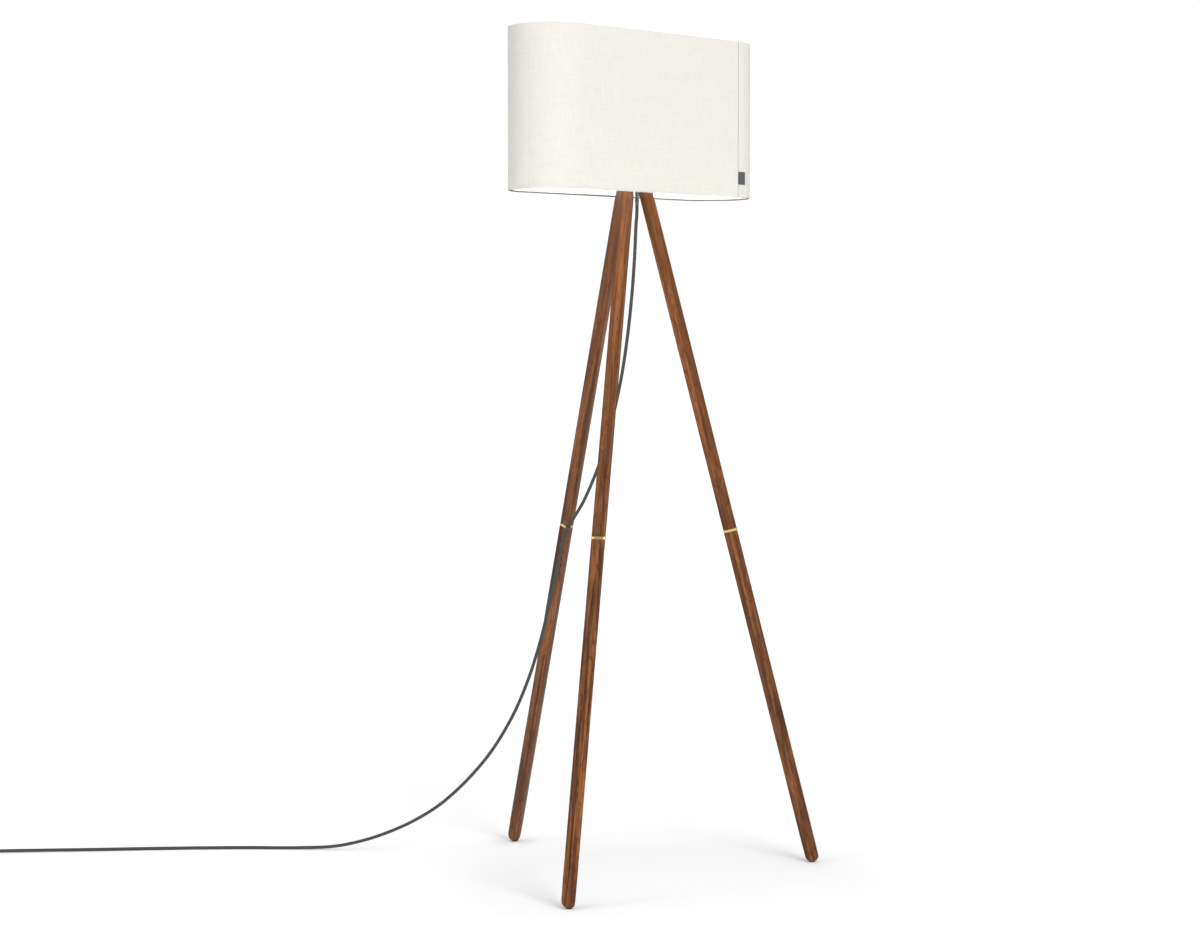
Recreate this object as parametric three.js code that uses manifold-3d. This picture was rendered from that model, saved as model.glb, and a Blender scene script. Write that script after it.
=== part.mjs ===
// Tripod floor lamp: three two-piece wooden legs screwed into a metal hub, a stem with a
// switched lampholder, a harp, and a long oval fabric shade that turns on the harp.
// Millimetres, +Z up. The floor is z = 0.
import * as THREE from 'three';
import { mergeVertices } from 'three/addons/utils/BufferGeometryUtils.js';
import Module from 'manifold-3d';

const wasm = await Module();
wasm.setup();

// ---------- driving dimensions ----------
const GAP = 0.3;                    // clearance kept between neighbouring pieces

// Where the lamp's axis stands, so that the lamp's own box is centred on the origin.
const AXIS_X = 10.3;
const AXIS_Y = -80.8;

// Tripod. Distances along a leg run from the apex, where the three leg axes meet.
const APEX_Z = 1407;
const LEG_LEAN = THREE.MathUtils.degToRad(14.5);
const LEGS = [
  { name: 'back', azimuth: 86.8, turn: -33 },
  { name: 'left', azimuth: 206.8, turn: 4 },
  { name: 'right', azimuth: 326.8, turn: 10 },
];
const LEG_CORNER = 11.6;            // leg axis to the centre of a rounded corner
const LEG_CORNER_R = 3.4;
const LEG_FACE_R = 60;              // the three faces are slightly crowned
const LEG_TOP = 88;
const RING_AT = 776;
const RING_THICK = 5.5;
const RING_PROUD = 0.3;
const LEG_END = 1452.5;
const FOOT_DOME = 18;
const JOIN_STUD_R = 4;
const JOIN_STUD_LENGTH = 62;
const HUB_STUD_R = 5;
const HUB_STUD_TOP = 68;
const HUB_STUD_LENGTH = 52;
const GLIDE_R = 6.2;
const GLIDE_THICK = 2.4;
const GLIDE_PIN_R = 1.5;
const GLIDE_PIN_TOP = 15;
const GLIDE_AT = 360.4;             // lamp axis to the centre of a glide

// Hub and stem
const HUB_R = 34;
const HUB_BOTTOM = 1330;
const HUB_TOP = 1352;
const HUB_RECESS_R = 24;
const HUB_RECESS_FLOOR = 1343;
const BOSS_R = 13.2;
const BOSS_TOP = 66;                // distance from the apex
const COVER_THICK = 3;
const COVER_SCREW_AT = 29;
const COVER_SCREW_R = 1.5;
const STEM_R = 6.5;
const STEM_BORE_R = 4;
const STEM_BOTTOM = 1346;
const STEM_TOP = 1408;
const SADDLE_Z = 1397.7;
const SADDLE_THICK = 1.6;
const SADDLE_HALF = 24;
const SADDLE_WIDTH = 10;
const SADDLE_POST = 9;
const NUT_ACROSS = 19;              // stem nuts, across their flats
const NUT_HEIGHT = 5;

// Lampholder and bulb
const HOLDER_Z = 1398;
const HOLDER_R = 17;
const HOLDER_WALL = 1.2;
const SHELL_BORE_R = 13.9;
const CAP_HEIGHT = 17;
const SHELL_TOP = 1454;
const KNOB_Z = 1407;
const KNOB_SHAFT_R = 1.9;
const KNOB_IN = 11.6;               // lamp axis to the inner end of the knob's shaft
const SWITCH_R = 12.6;
const BULB_BASE_Z = 1420;
const BULB_BASE_HEIGHT = 27;
const BULB_WALL = 1.2;
const BULB_R = 30;
const BULB_TOP = 1532;

// Harp and finial
const HARP_WIRE_R = 1.7;
const HARP_PIN_R = 2.6;
const HARP_HALF = 56;
const HARP_TOP = 1570;
const WASHER_Z = 1574;
const WASHER_THICK = 2;
const FINIAL_TOP = 1594;

// Shade: a straight-sided oval
const SHADE_HALF_STRAIGHT = 210;
const SHADE_R = 82;
const SHADE_BOTTOM = 1299;
const SHADE_TOP = 1600;
const COVER_FABRIC = 0.9;
const LINER_THICK = 0.8;
const RIM_WIRE_R = 1.1;
const RIM_AT = 1.9;                 // edge of the shade to a hoop's centre
const ARM_WIRE_R = 1.6;
const TAG_WIDTH = 20.1;
const TAG_HEIGHT = 24.5;
const TAG_THICK = 0.5;
const TAG_Z = 1324;
const TAG_START = -1.9;             // along the curve from the end of the straight side

// Cord
const CORD_R = 3.25;
const GLAND = { x: -0.75, y: -13, top: 1345.6, bottom: 1282, hole: 5, nut: 7, neck: 4.6, sleeve: 4.8 };
const CORD_ROUTE = [
  [-0.75, -13, 1281.7], [-0.8, -12.6, 1262], [-0.8, -10.3, 1240], [-0.8, -6.1, 1175],
  [-0.8, 1.9, 1099], [-0.9, 13.8, 1022], [-0.9, 30.4, 946], [-0.9, 54.8, 868],
  [-1, 88, 786], [-1.1, 132, 710], [-1.2, 178, 651.4], [-8, 189.5, 612],
  [-16, 197.5, 562], [-25.4, 208, 497], [-36, 221, 429], [-52, 240.5, 349],
  [-74, 268, 269], [-107, 308, 188], [-157, 369.5, 106], [-197, 418, 64],
  [-235, 465, 36], [-266, 503, 19.5], [-300, 544, 8], [-350, 600, 3.8],
  [-420, 671, 3.6], [-500, 744, 3.6], [-580, 811, 3.6], [-660, 875, 3.8],
  [-735, 935, 4.3], [-790.6, 978.4, 4.65], [-838.3, 1014.9, 4.65],
];
const CLIP_OFFSET = 20.4;           // leg axis to the cord's centre at the clip
const CLIP_R = 5.2;
const CLIP_WIDTH = 6;
const COIL = { x: -833, y: 1060.5, turn: -37.4, inner: 29.6, outer: 42.9, bottom: 1.4, top: 13.8 };
const TAIL = { x: -36.25, from: 28, to: 48, startZ: 10.3, endZ: 8.3 };
const PLUG = { width: 25, thick: 16, length: 33, boot: 22, blade: 17, back: 70.3 };

// ---------- helpers ----------
function material(color, roughness, metalness = 0) {
  return new THREE.MeshStandardMaterial({ color, roughness, metalness });
}

const WOOD = { color: 0x7a4b2f, roughness: 0.5, metalness: 0 };
const BRASS = { color: 0xc9a95c, roughness: 0.3, metalness: 1 };
const STEEL = { color: 0xb4b6b8, roughness: 0.35, metalness: 1 };
const BLACK_METAL = { color: 0x1c1c1d, roughness: 0.5, metalness: 0.4 };
const WHITE_METAL = { color: 0xe8e6e2, roughness: 0.4, metalness: 0.2 };
const CORD_GREY = { color: 0x4d4e48, roughness: 0.8, metalness: 0 };
const GLIDE_BROWN = { color: 0x4a3324, roughness: 0.6, metalness: 0 };

function piece(name, geometry, look) {
  const mesh = new THREE.Mesh(geometry, material(look.color, look.roughness, look.metalness));
  mesh.name = name;
  return mesh;
}

function toSolid(geometry) {
  const bare = geometry.clone();
  bare.deleteAttribute('normal');
  bare.deleteAttribute('uv');
  const merged = mergeVertices(bare, 1e-4);
  return new wasm.Manifold(new wasm.Mesh({
    numProp: 3,
    vertProperties: new Float32Array(merged.attributes.position.array),
    triVerts: new Uint32Array(merged.index.array),
  }));
}

function toGeometry(solid) {
  const mesh = solid.getMesh();
  const geometry = new THREE.BufferGeometry();
  geometry.setAttribute('position', new THREE.BufferAttribute(new Float32Array(mesh.vertProperties), 3));
  geometry.setIndex(new THREE.BufferAttribute(new Uint32Array(mesh.triVerts), 1));
  geometry.computeVertexNormals();
  return geometry;
}

function union(...geometries) {
  return toGeometry(geometries.map(toSolid).reduce((a, b) => a.add(b)));
}

function cut(geometry, ...tools) {
  return toGeometry(tools.map(toSolid).reduce((a, b) => a.subtract(b), toSolid(geometry)));
}

// A solid of revolution about Z from [radius, z] pairs, listed either way round.
function turned(profile, segments = 20) {
  const points = profile.map(([r, z]) => new THREE.Vector2(r, z));
  if (THREE.ShapeUtils.area(points) < 0) points.reverse();
  return new THREE.LatheGeometry(points, segments).rotateX(Math.PI / 2);
}

function rod(radius, z0, z1, segments = 16) {
  return turned([[0, z0], [radius, z0], [radius, z1], [0, z1]], segments);
}

// A ring about Z with a rectangular section.
function ring(inner, outer, z0, z1, segments = 24) {
  return turned([[inner, z0], [outer, z0], [outer, z1], [inner, z1], [inner, z0]], segments);
}

function extruded(shape, height, curveSegments = 6) {
  return new THREE.ExtrudeGeometry(shape, { depth: height, bevelEnabled: false, curveSegments });
}

function circleShape(radius, segments) {
  const points = [];
  for (let i = 0; i < segments; i += 1) {
    const angle = (2 * Math.PI * i) / segments;
    points.push(new THREE.Vector2(radius * Math.cos(angle), radius * Math.sin(angle)));
  }
  return new THREE.Shape(points);
}

// A round bar along a curve.
function bar(curve, radius, steps, sides = 8) {
  return new THREE.ExtrudeGeometry(circleShape(radius, sides), {
    steps, extrudePath: curve, bevelEnabled: false,
  });
}

function vectors(points) {
  return points.map(([x, y, z]) => new THREE.Vector3(x, y, z));
}

// ---------- legs ----------
// The leg's section: a triangle with crowned faces and round corners, one face towards +X.
function legSection(grow = 0) {
  const cornerR = LEG_CORNER_R + grow;
  const faceR = LEG_FACE_R + grow;
  const face = Math.sqrt((faceR - cornerR) ** 2 - 0.75 * LEG_CORNER ** 2) - 0.5 * LEG_CORNER;
  const half = Math.atan2(LEG_CORNER * Math.sqrt(0.75), face + 0.5 * LEG_CORNER);
  const shape = new THREE.Shape();
  for (let i = 0; i < 3; i += 1) {
    const normal = (2 * Math.PI * i) / 3;
    const corner = normal + Math.PI / 3;
    shape.absarc(-face * Math.cos(normal), -face * Math.sin(normal), faceR,
      normal - half, normal + half);
    shape.absarc(LEG_CORNER * Math.cos(corner), LEG_CORNER * Math.sin(corner), cornerR,
      normal + half, normal + (2 * Math.PI) / 3 - half);
  }
  return shape;
}

// Everything on a leg is drawn along -Z from the apex, at a distance that grows downwards.
function legPrism(from, to, grow = 0) {
  return extruded(legSection(grow), to - from, 3).translate(0, 0, -to);
}

function legRod(radius, from, to, segments = 14) {
  return rod(radius, -to, -from, segments);
}

// The foot: the section runs into a dome that is a little taller than it is wide.
function footDome() {
  const profile = [[0, -LEG_END]];
  const radius = LEG_CORNER + LEG_CORNER_R + 0.4;
  const steps = 6;
  for (let i = 1; i <= steps; i += 1) {
    const angle = (0.5 * Math.PI * i) / steps;
    profile.push([radius * Math.sin(angle), FOOT_DOME * (1 - Math.cos(angle)) - LEG_END]);
  }
  profile.push([radius, -LEG_END + 60]);
  profile.push([0, -LEG_END + 60]);
  return turned(profile, 24);
}

// The floor under a foot and the glide's pin hole, in the leg's own directions.
function underFoot() {
  const floor = new THREE.BoxGeometry(60, 60, 40).translate(GLIDE_AT, 0, GLIDE_THICK + GAP - 20);
  const hole = rod(GLIDE_PIN_R + GAP, 0, GLIDE_PIN_TOP + GAP, 8).translate(GLIDE_AT, 0, 0);
  return [floor, hole].map((geometry) => geometry.translate(0, 0, -APEX_Z).rotateY(LEG_LEAN));
}

function lowerLeg(turn) {
  const body = legPrism(RING_AT + RING_THICK / 2 + GAP, LEG_END - FOOT_DOME);
  const foot = toSolid(legPrism(LEG_END - FOOT_DOME - 20, LEG_END + 1)).intersect(toSolid(footDome()));
  const whole = toSolid(body).add(foot).rotate([0, 0, turn]);
  const bore = legRod(JOIN_STUD_R + GAP, RING_AT, RING_AT + JOIN_STUD_LENGTH / 2 + 1);
  return cut(toGeometry(whole), bore, ...underFoot());
}

function upperLeg(turn) {
  const body = legPrism(LEG_TOP, RING_AT - RING_THICK / 2 - GAP).rotateZ(THREE.MathUtils.degToRad(turn));
  const lowBore = legRod(JOIN_STUD_R + GAP, RING_AT - JOIN_STUD_LENGTH / 2 - 1, RING_AT);
  const topBore = legRod(HUB_STUD_R + GAP, LEG_TOP - 1, HUB_STUD_TOP + HUB_STUD_LENGTH + 1);
  return cut(body, lowBore, topBore);
}

function brassRing(turn) {
  const from = RING_AT - RING_THICK / 2;
  const to = RING_AT + RING_THICK / 2;
  const body = legPrism(from, to, RING_PROUD).rotateZ(THREE.MathUtils.degToRad(turn));
  return cut(body, legRod(JOIN_STUD_R + GAP, from - 1, to + 1));
}

function glide() {
  return turned([[0, 0], [GLIDE_R - 0.8, 0], [GLIDE_R, 0.8], [GLIDE_R, GLIDE_THICK],
    [GLIDE_PIN_R, GLIDE_THICK], [GLIDE_PIN_R, GLIDE_PIN_TOP - 2], [0, GLIDE_PIN_TOP]], 16)
    .translate(GLIDE_AT, 0, 0);
}

function leg({ name, azimuth, turn }) {
  const side = new THREE.Group();
  side.rotation.z = THREE.MathUtils.degToRad(azimuth);
  const along = new THREE.Group();
  along.position.z = APEX_Z;
  along.rotation.y = -LEG_LEAN;
  const half = JOIN_STUD_LENGTH / 2;
  along.add(
    piece(`upper_leg_${name}`, upperLeg(turn), WOOD),
    piece(`brass_ring_${name}`, brassRing(turn), BRASS),
    piece(`lower_leg_${name}`, lowerLeg(turn), WOOD),
    piece(`join_stud_${name}`, legRod(JOIN_STUD_R, RING_AT - half, RING_AT + half), STEEL),
    piece(`hub_stud_${name}`, legRod(HUB_STUD_R, HUB_STUD_TOP, HUB_STUD_TOP + HUB_STUD_LENGTH), STEEL),
  );
  side.add(along, piece(`foot_glide_${name}`, glide(), GLIDE_BROWN));
  return side;
}

// ---------- hub ----------
function toLegDirection(geometry, azimuth) {
  return geometry.rotateY(-LEG_LEAN).translate(0, 0, APEX_Z).rotateZ(THREE.MathUtils.degToRad(azimuth));
}

function hubBody() {
  const disc = turned([[0, HUB_BOTTOM], [HUB_R - 3, HUB_BOTTOM], [HUB_R, HUB_BOTTOM + 3],
    [HUB_R, HUB_TOP], [0, HUB_TOP]], 36);
  const bosses = LEGS.map(({ azimuth }) => (
    toLegDirection(legRod(BOSS_R, BOSS_TOP, LEG_TOP - GAP, 20), azimuth)));
  const bores = LEGS.map(({ azimuth }) => (
    toLegDirection(legRod(HUB_STUD_R + GAP, HUB_STUD_TOP - 0.6, LEG_TOP + 1), azimuth)));
  const recess = rod(HUB_RECESS_R, HUB_RECESS_FLOOR, HUB_TOP + 1, 24);
  const glandHole = rod(GLAND.hole, HUB_BOTTOM - 20, HUB_TOP, 12).translate(GLAND.x, GLAND.y, 0);
  const screwHoles = coverScrewHoles(HUB_TOP - 8, HUB_TOP + 1);
  return cut(union(disc, ...bosses), ...bores, recess, glandHole, ...screwHoles);
}

function coverScrewPlaces() {
  return LEGS.map(({ azimuth }) => {
    const angle = THREE.MathUtils.degToRad(azimuth + 60);
    return [COVER_SCREW_AT * Math.cos(angle), COVER_SCREW_AT * Math.sin(angle)];
  });
}

function coverScrewHoles(z0, z1) {
  const hole = rod(COVER_SCREW_R + GAP, z0, z1, 8);
  return coverScrewPlaces().map(([x, y]) => hole.clone().translate(x, y, 0));
}

function hubCover() {
  const bottom = HUB_TOP + GAP;
  const plate = turned([[STEM_R + GAP, bottom], [HUB_R, bottom], [HUB_R, bottom + 2],
    [HUB_R - 1, bottom + COVER_THICK], [STEM_R + GAP, bottom + COVER_THICK],
    [STEM_R + GAP, bottom]], 36);
  return cut(plate, ...coverScrewHoles(bottom - 1, bottom + COVER_THICK + 1));
}

function coverScrews() {
  const head = HUB_TOP + COVER_THICK + 2 * GAP;
  const screw = turned([[0, HUB_TOP - 7], [COVER_SCREW_R, HUB_TOP - 7], [COVER_SCREW_R, head],
    [3, head], [2, head + 2], [0, head + 2]], 10);
  return coverScrewPlaces().map(([x, y], i) => (
    piece(`cover_screw_${i + 1}`, screw.clone().translate(x, y, 0), STEEL)));
}

function stemNut(top) {
  const shape = circleShape(NUT_ACROSS / 2 / Math.cos(Math.PI / 6), 6);
  const nut = extruded(shape, NUT_HEIGHT).translate(0, 0, top - NUT_HEIGHT);
  return cut(nut, rod(STEM_R + GAP, top - NUT_HEIGHT - 1, top + 1));
}

// The strain relief: a nut inside the hub, then a ridged sleeve that tapers to the cord.
function strainRelief() {
  const { top, bottom, nut, neck, sleeve } = GLAND;
  const nutBottom = HUB_RECESS_FLOOR + GAP;
  const first = HUB_BOTTOM - 5;
  const profile = [[0, top], [nut, top], [nut, nutBottom], [neck, nutBottom],
    [neck, HUB_BOTTOM - GAP], [sleeve, HUB_BOTTOM - GAP], [sleeve, first]];
  const ridges = 6;
  const pitch = (first - bottom) / ridges;
  for (let i = 0; i < ridges; i += 1) {
    const z = first - pitch * i;
    const crest = sleeve - (0.8 * i) / ridges;
    const root = crest - 0.8;
    profile.push([root, z - 0.3 * pitch], [root, z - 0.5 * pitch]);
    profile.push([crest, z - 0.7 * pitch], [crest, z - pitch]);
  }
  profile.push([0, bottom]);
  return turned(profile, 12).translate(GLAND.x, GLAND.y, 0);
}

function stemCollar() {
  const bore = STEM_R + GAP;
  const bottom = HUB_TOP + COVER_THICK + 2 * GAP;
  return turned([[bore, bottom], [12, bottom], [12, bottom + 2.7], [9, bottom + 6.7],
    [bore, bottom + 6.7], [bore, bottom]]);
}

function hub() {
  const group = new THREE.Group();
  group.add(
    piece('hub_body', hubBody(), BLACK_METAL),
    piece('hub_cover', hubCover(), BLACK_METAL),
    ...coverScrews(),
    piece('stem_tube', ring(STEM_BORE_R, STEM_R, STEM_BOTTOM, STEM_TOP), BRASS),
    piece('stem_lock_nut', stemNut(HUB_TOP), STEEL),
    piece('stem_collar', stemCollar(), BRASS),
    piece('strain_relief', strainRelief(), CORD_GREY),
  );
  return group;
}

// ---------- lampholder, switch and bulb ----------
function holderCap() {
  const top = HOLDER_Z + CAP_HEIGHT;
  const bore = STEM_R + GAP;
  const floor = HOLDER_Z + HOLDER_WALL + 0.2;
  const cup = turned([[bore, HOLDER_Z], [11, HOLDER_Z], [HOLDER_R, HOLDER_Z + 6], [HOLDER_R, top],
    [HOLDER_R - HOLDER_WALL, top], [HOLDER_R - HOLDER_WALL, HOLDER_Z + 6.6], [10.6, floor],
    [bore, floor], [bore, HOLDER_Z]], 24);
  const shaftHole = rod(KNOB_SHAFT_R + GAP + 0.1, 10, 30, 16).rotateX(Math.PI / 2);
  return cut(cup, shaftHole.translate(0, 0, KNOB_Z));
}

// The shell, with a shallow groove below its rim.
function holderShell() {
  const bottom = HOLDER_Z + CAP_HEIGHT + GAP;
  const groove = HOLDER_R - 0.7;
  return turned([[SHELL_BORE_R, bottom], [SHELL_BORE_R, SHELL_TOP], [HOLDER_R, SHELL_TOP],
    [HOLDER_R, SHELL_TOP - 6], [groove, SHELL_TOP - 8], [groove, SHELL_TOP - 11],
    [HOLDER_R, SHELL_TOP - 13], [HOLDER_R, bottom], [SHELL_BORE_R, bottom]], 24);
}

// The switch block sits in the cap, above the knob's shaft, with the centre contact on top.
function switchBlock() {
  const bottom = KNOB_Z + KNOB_SHAFT_R + 2 * GAP;
  const block = rod(SWITCH_R, bottom, BULB_BASE_Z - 3, 20);
  const contact = rod(3.5, BULB_BASE_Z - 4, BULB_BASE_Z - GAP, 16);
  return union(block, contact);
}

function switchKnob() {
  const body = turned([[0, 0], [KNOB_SHAFT_R, 0], [KNOB_SHAFT_R, 8.5], [4.2, 8.5], [5.4, 10],
    [4.9, 19], [3.9, 20.5], [0, 20.5]], 16);
  return body.rotateX(Math.PI / 2).translate(0, -KNOB_IN, KNOB_Z);
}

function bulbBase() {
  const profile = [[0, BULB_BASE_Z], [4, BULB_BASE_Z], [6, BULB_BASE_Z + 2], [12, BULB_BASE_Z + 5]];
  const threads = 3;
  const pitch = 5.6;
  for (let i = 0; i < threads; i += 1) {
    const z = BULB_BASE_Z + 6 + pitch * i;
    profile.push([13.1, z + 1.5], [12.2, z + 4.3]);
  }
  const top = BULB_BASE_Z + BULB_BASE_HEIGHT;
  profile.push([13, top - 3], [13, top], [0, top]);
  return turned(profile, 20);
}

// A thin envelope, open at its neck, where the base closes it.
function bulbGlass() {
  const neck = BULB_BASE_Z + BULB_BASE_HEIGHT + GAP;
  const centre = BULB_TOP - BULB_R;
  const steps = 6;
  const outline = (inset) => {
    const points = [[13.1 - inset, neck], [13.4 - inset, neck + 7], [17.5 - inset, neck + 21],
      [25.2 - inset, neck + 35]];
    for (let i = 1; i <= steps; i += 1) {
      const angle = ((0.42 + Math.PI / 2) * i) / steps - 0.42;
      const r = BULB_R - inset;
      points.push([i < steps ? r * Math.cos(angle) : 0, centre + r * Math.sin(angle)]);
    }
    return points;
  };
  const outer = outline(0);
  return turned([...outer, ...outline(BULB_WALL).reverse(), outer[0]], 24);
}

function lampholder() {
  const group = new THREE.Group();
  group.add(
    piece('holder_cap', holderCap(), BRASS),
    piece('holder_shell', holderShell(), BRASS),
    piece('switch_block', switchBlock(), { color: 0x2a2523, roughness: 0.7, metalness: 0 }),
    piece('switch_knob', switchKnob(), { color: 0x161515, roughness: 0.4, metalness: 0 }),
    piece('bulb_base', bulbBase(), { color: 0xc4c6c8, roughness: 0.3, metalness: 1 }),
    piece('bulb_glass', bulbGlass(), { color: 0xf4f2ec, roughness: 0.25, metalness: 0 }),
  );
  return group;
}

// ---------- harp ----------
function harpSaddle() {
  const strap = new THREE.BoxGeometry(2 * SADDLE_HALF, SADDLE_WIDTH, SADDLE_THICK)
    .translate(0, 0, SADDLE_Z - SADDLE_THICK / 2);
  const posts = [-1, 1].map((side) => new THREE.BoxGeometry(SADDLE_THICK, 6, SADDLE_POST)
    .translate(side * (SADDLE_HALF - SADDLE_THICK / 2), 0, SADDLE_Z + SADDLE_POST / 2 - 1));
  const seat = rod(11, SADDLE_Z - SADDLE_THICK, SADDLE_Z, 20);
  return cut(union(strap, seat, ...posts), rod(STEM_R + GAP, SADDLE_Z - 5, SADDLE_Z + 5));
}

// One bent wire, standing on the saddle's posts and carrying a threaded pin at its top.
function harpFrame() {
  const foot = SADDLE_Z + SADDLE_POST + HARP_WIRE_R - 1 + GAP;
  const half = [[SADDLE_HALF + 3, 0, foot - 6], [SADDLE_HALF + 5, 0, foot + 10],
    [HARP_HALF - 12, 0, foot + 42], [HARP_HALF, 0, foot + 82], [HARP_HALF - 3, 0, foot + 118],
    [HARP_HALF - 18, 0, foot + 146], [HARP_HALF - 38, 0, HARP_TOP - 5],
    [0, 0, HARP_TOP - HARP_WIRE_R]];
  const other = half.slice(0, -1).reverse().map(([x, y, z]) => [-x, y, z]);
  const wire = bar(new THREE.CatmullRomCurve3(vectors([...half, ...other])), HARP_WIRE_R, 36, 6);
  const seat = rod(6, HARP_TOP - 4, WASHER_Z - WASHER_THICK / 2 - GAP, 16);
  const pin = rod(HARP_PIN_R, HARP_TOP - 2, FINIAL_TOP - 9, 16);
  return union(wire, seat, pin);
}

function finial() {
  const z = WASHER_Z + WASHER_THICK / 2 + GAP;
  const bore = HARP_PIN_R + GAP;
  return turned([[bore, z], [7, z], [7, z + 2.5], [4.6, z + 4.5], [4.6, z + 6], [7.2, z + 9.5],
    [6.4, z + 14], [3.4, FINIAL_TOP - 1], [0, FINIAL_TOP], [0, FINIAL_TOP - 8], [bore, FINIAL_TOP - 8],
    [bore, z]], 18);
}

function harp() {
  const group = new THREE.Group();
  group.add(
    piece('saddle_nut', stemNut(SADDLE_Z - SADDLE_THICK - GAP), BRASS),
    piece('harp_saddle', harpSaddle(), BRASS),
    piece('harp_frame', harpFrame(), BRASS),
    piece('finial', finial(), BRASS),
  );
  return group;
}

// ---------- shade ----------
// The oval at a distance inside the shade's outer face.
function ovalShape(inset) {
  const r = SHADE_R - inset;
  const shape = new THREE.Shape();
  shape.absarc(SHADE_HALF_STRAIGHT, 0, r, -Math.PI / 2, Math.PI / 2);
  shape.absarc(-SHADE_HALF_STRAIGHT, 0, r, Math.PI / 2, 1.5 * Math.PI);
  return shape;
}

function ovalWall(inset, thickness, z0, z1) {
  const shape = ovalShape(inset);
  shape.holes.push(ovalShape(inset + thickness));
  return extruded(shape, z1 - z0, 18).translate(0, 0, z0);
}

function rimInset() {
  return COVER_FABRIC + LINER_THICK + 2 * GAP + RIM_WIRE_R;
}

// A wire hoop inside the edge of the shade.
function rimHoop(z) {
  const r = SHADE_R - rimInset();
  const straights = [-1, 1].map((side) => new THREE.LineCurve3(...vectors([
    [side * SHADE_HALF_STRAIGHT, side * r, 0], [-side * SHADE_HALF_STRAIGHT, side * r, 0]])));
  const sides = 6;
  const section = circleShape(RIM_WIRE_R, sides);
  const rods = straights.map((curve) => new THREE.ExtrudeGeometry(section, {
    steps: 1, extrudePath: curve, bevelEnabled: false,
  }));
  const profile = [];
  for (let i = 0; i <= sides; i += 1) {
    const angle = (2 * Math.PI * (i % sides)) / sides;
    profile.push([r + RIM_WIRE_R * Math.cos(angle), RIM_WIRE_R * Math.sin(angle)]);
  }
  const wheel = toSolid(turned(profile, 32));
  const ends = [1, -1].map((s) => {
    const keep = toSolid(new THREE.BoxGeometry(200, 200, 10).translate(s * 99.99, 0, 0));
    return wheel.intersect(keep).translate([s * SHADE_HALF_STRAIGHT, 0, 0]);
  });
  return toGeometry(rods.map(toSolid).concat(ends).reduce((a, b) => a.add(b)).translate([0, 0, z]));
}

// The upper hoop carries four arms and the washer that the finial clamps.
function topFrame() {
  const z = SHADE_TOP - RIM_AT;
  const reach = SHADE_R - rimInset();
  const arm = (sx, sy) => bar(new THREE.CatmullRomCurve3(vectors([
    [sx * 7, sy * 8, WASHER_Z], [sx * 16, sy * 22, WASHER_Z + 2], [sx * 34, sy * 52, z - 7],
    [sx * 48, sy * reach, z]])), ARM_WIRE_R, 4, 6);
  const washer = ring(HARP_PIN_R + GAP + 0.1, 12, WASHER_Z - WASHER_THICK / 2,
    WASHER_Z + WASHER_THICK / 2, 20);
  return union(rimHoop(z), arm(1, 1), arm(1, -1), arm(-1, 1), arm(-1, -1), washer);
}

function shadeTag() {
  const r0 = SHADE_R + GAP;
  const r1 = r0 + TAG_THICK;
  const from = -Math.PI / 2 + TAG_START / SHADE_R;
  const to = from + TAG_WIDTH / SHADE_R;
  const shape = new THREE.Shape();
  shape.absarc(0, 0, r1, from, to);
  shape.absarc(0, 0, r0, to, from, true);
  return extruded(shape, TAG_HEIGHT, 6).translate(SHADE_HALF_STRAIGHT, 0, TAG_Z);
}

function shade() {
  const group = new THREE.Group();
  const linen = { color: 0xf2efe8, roughness: 0.95, metalness: 0 };
  const inner = COVER_FABRIC + GAP;
  group.add(
    piece('shade_cover', ovalWall(0, COVER_FABRIC, SHADE_BOTTOM, SHADE_TOP), linen),
    piece('shade_liner', ovalWall(inner, LINER_THICK, SHADE_BOTTOM + 1, SHADE_TOP - 1),
      { color: 0xffffff, roughness: 0.6, metalness: 0 }),
    piece('shade_top_frame', topFrame(), WHITE_METAL),
    piece('shade_bottom_hoop', rimHoop(SHADE_BOTTOM + RIM_AT), WHITE_METAL),
    piece('shade_tag', shadeTag(), { color: 0x4c4f52, roughness: 0.9, metalness: 0 }),
  );
  return group;
}

// ---------- cord ----------
// The uncoiled stretch, from the strain relief to the coil.
function routeBar(radius) {
  return bar(new THREE.CatmullRomCurve3(vectors(CORD_ROUTE), false, 'centripetal'), radius, 70, 8);
}

// A clip on the back leg's brass ring: a sleeve round the cord on a foot that hugs the ring.
function cordClip() {
  const { azimuth, turn } = LEGS[0];
  const corner = THREE.MathUtils.degToRad(turn + 180);
  const half = CLIP_WIDTH / 2;
  const sleeve = legRod(CLIP_R, RING_AT - half, RING_AT + half, 14).translate(CLIP_OFFSET, 0, 0);
  const foot = new THREE.BoxGeometry(7, 7, CLIP_WIDTH).translate(CLIP_OFFSET - 6, 0, -RING_AT);
  const whole = toLegDirection(union(sleeve, foot).rotateZ(corner), azimuth);
  const ringRoom = legPrism(RING_AT - 9, RING_AT + 9, RING_PROUD + GAP)
    .rotateZ(THREE.MathUtils.degToRad(turn));
  return cut(whole, toLegDirection(ringRoom, azimuth), routeBar(CORD_R + GAP));
}

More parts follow.
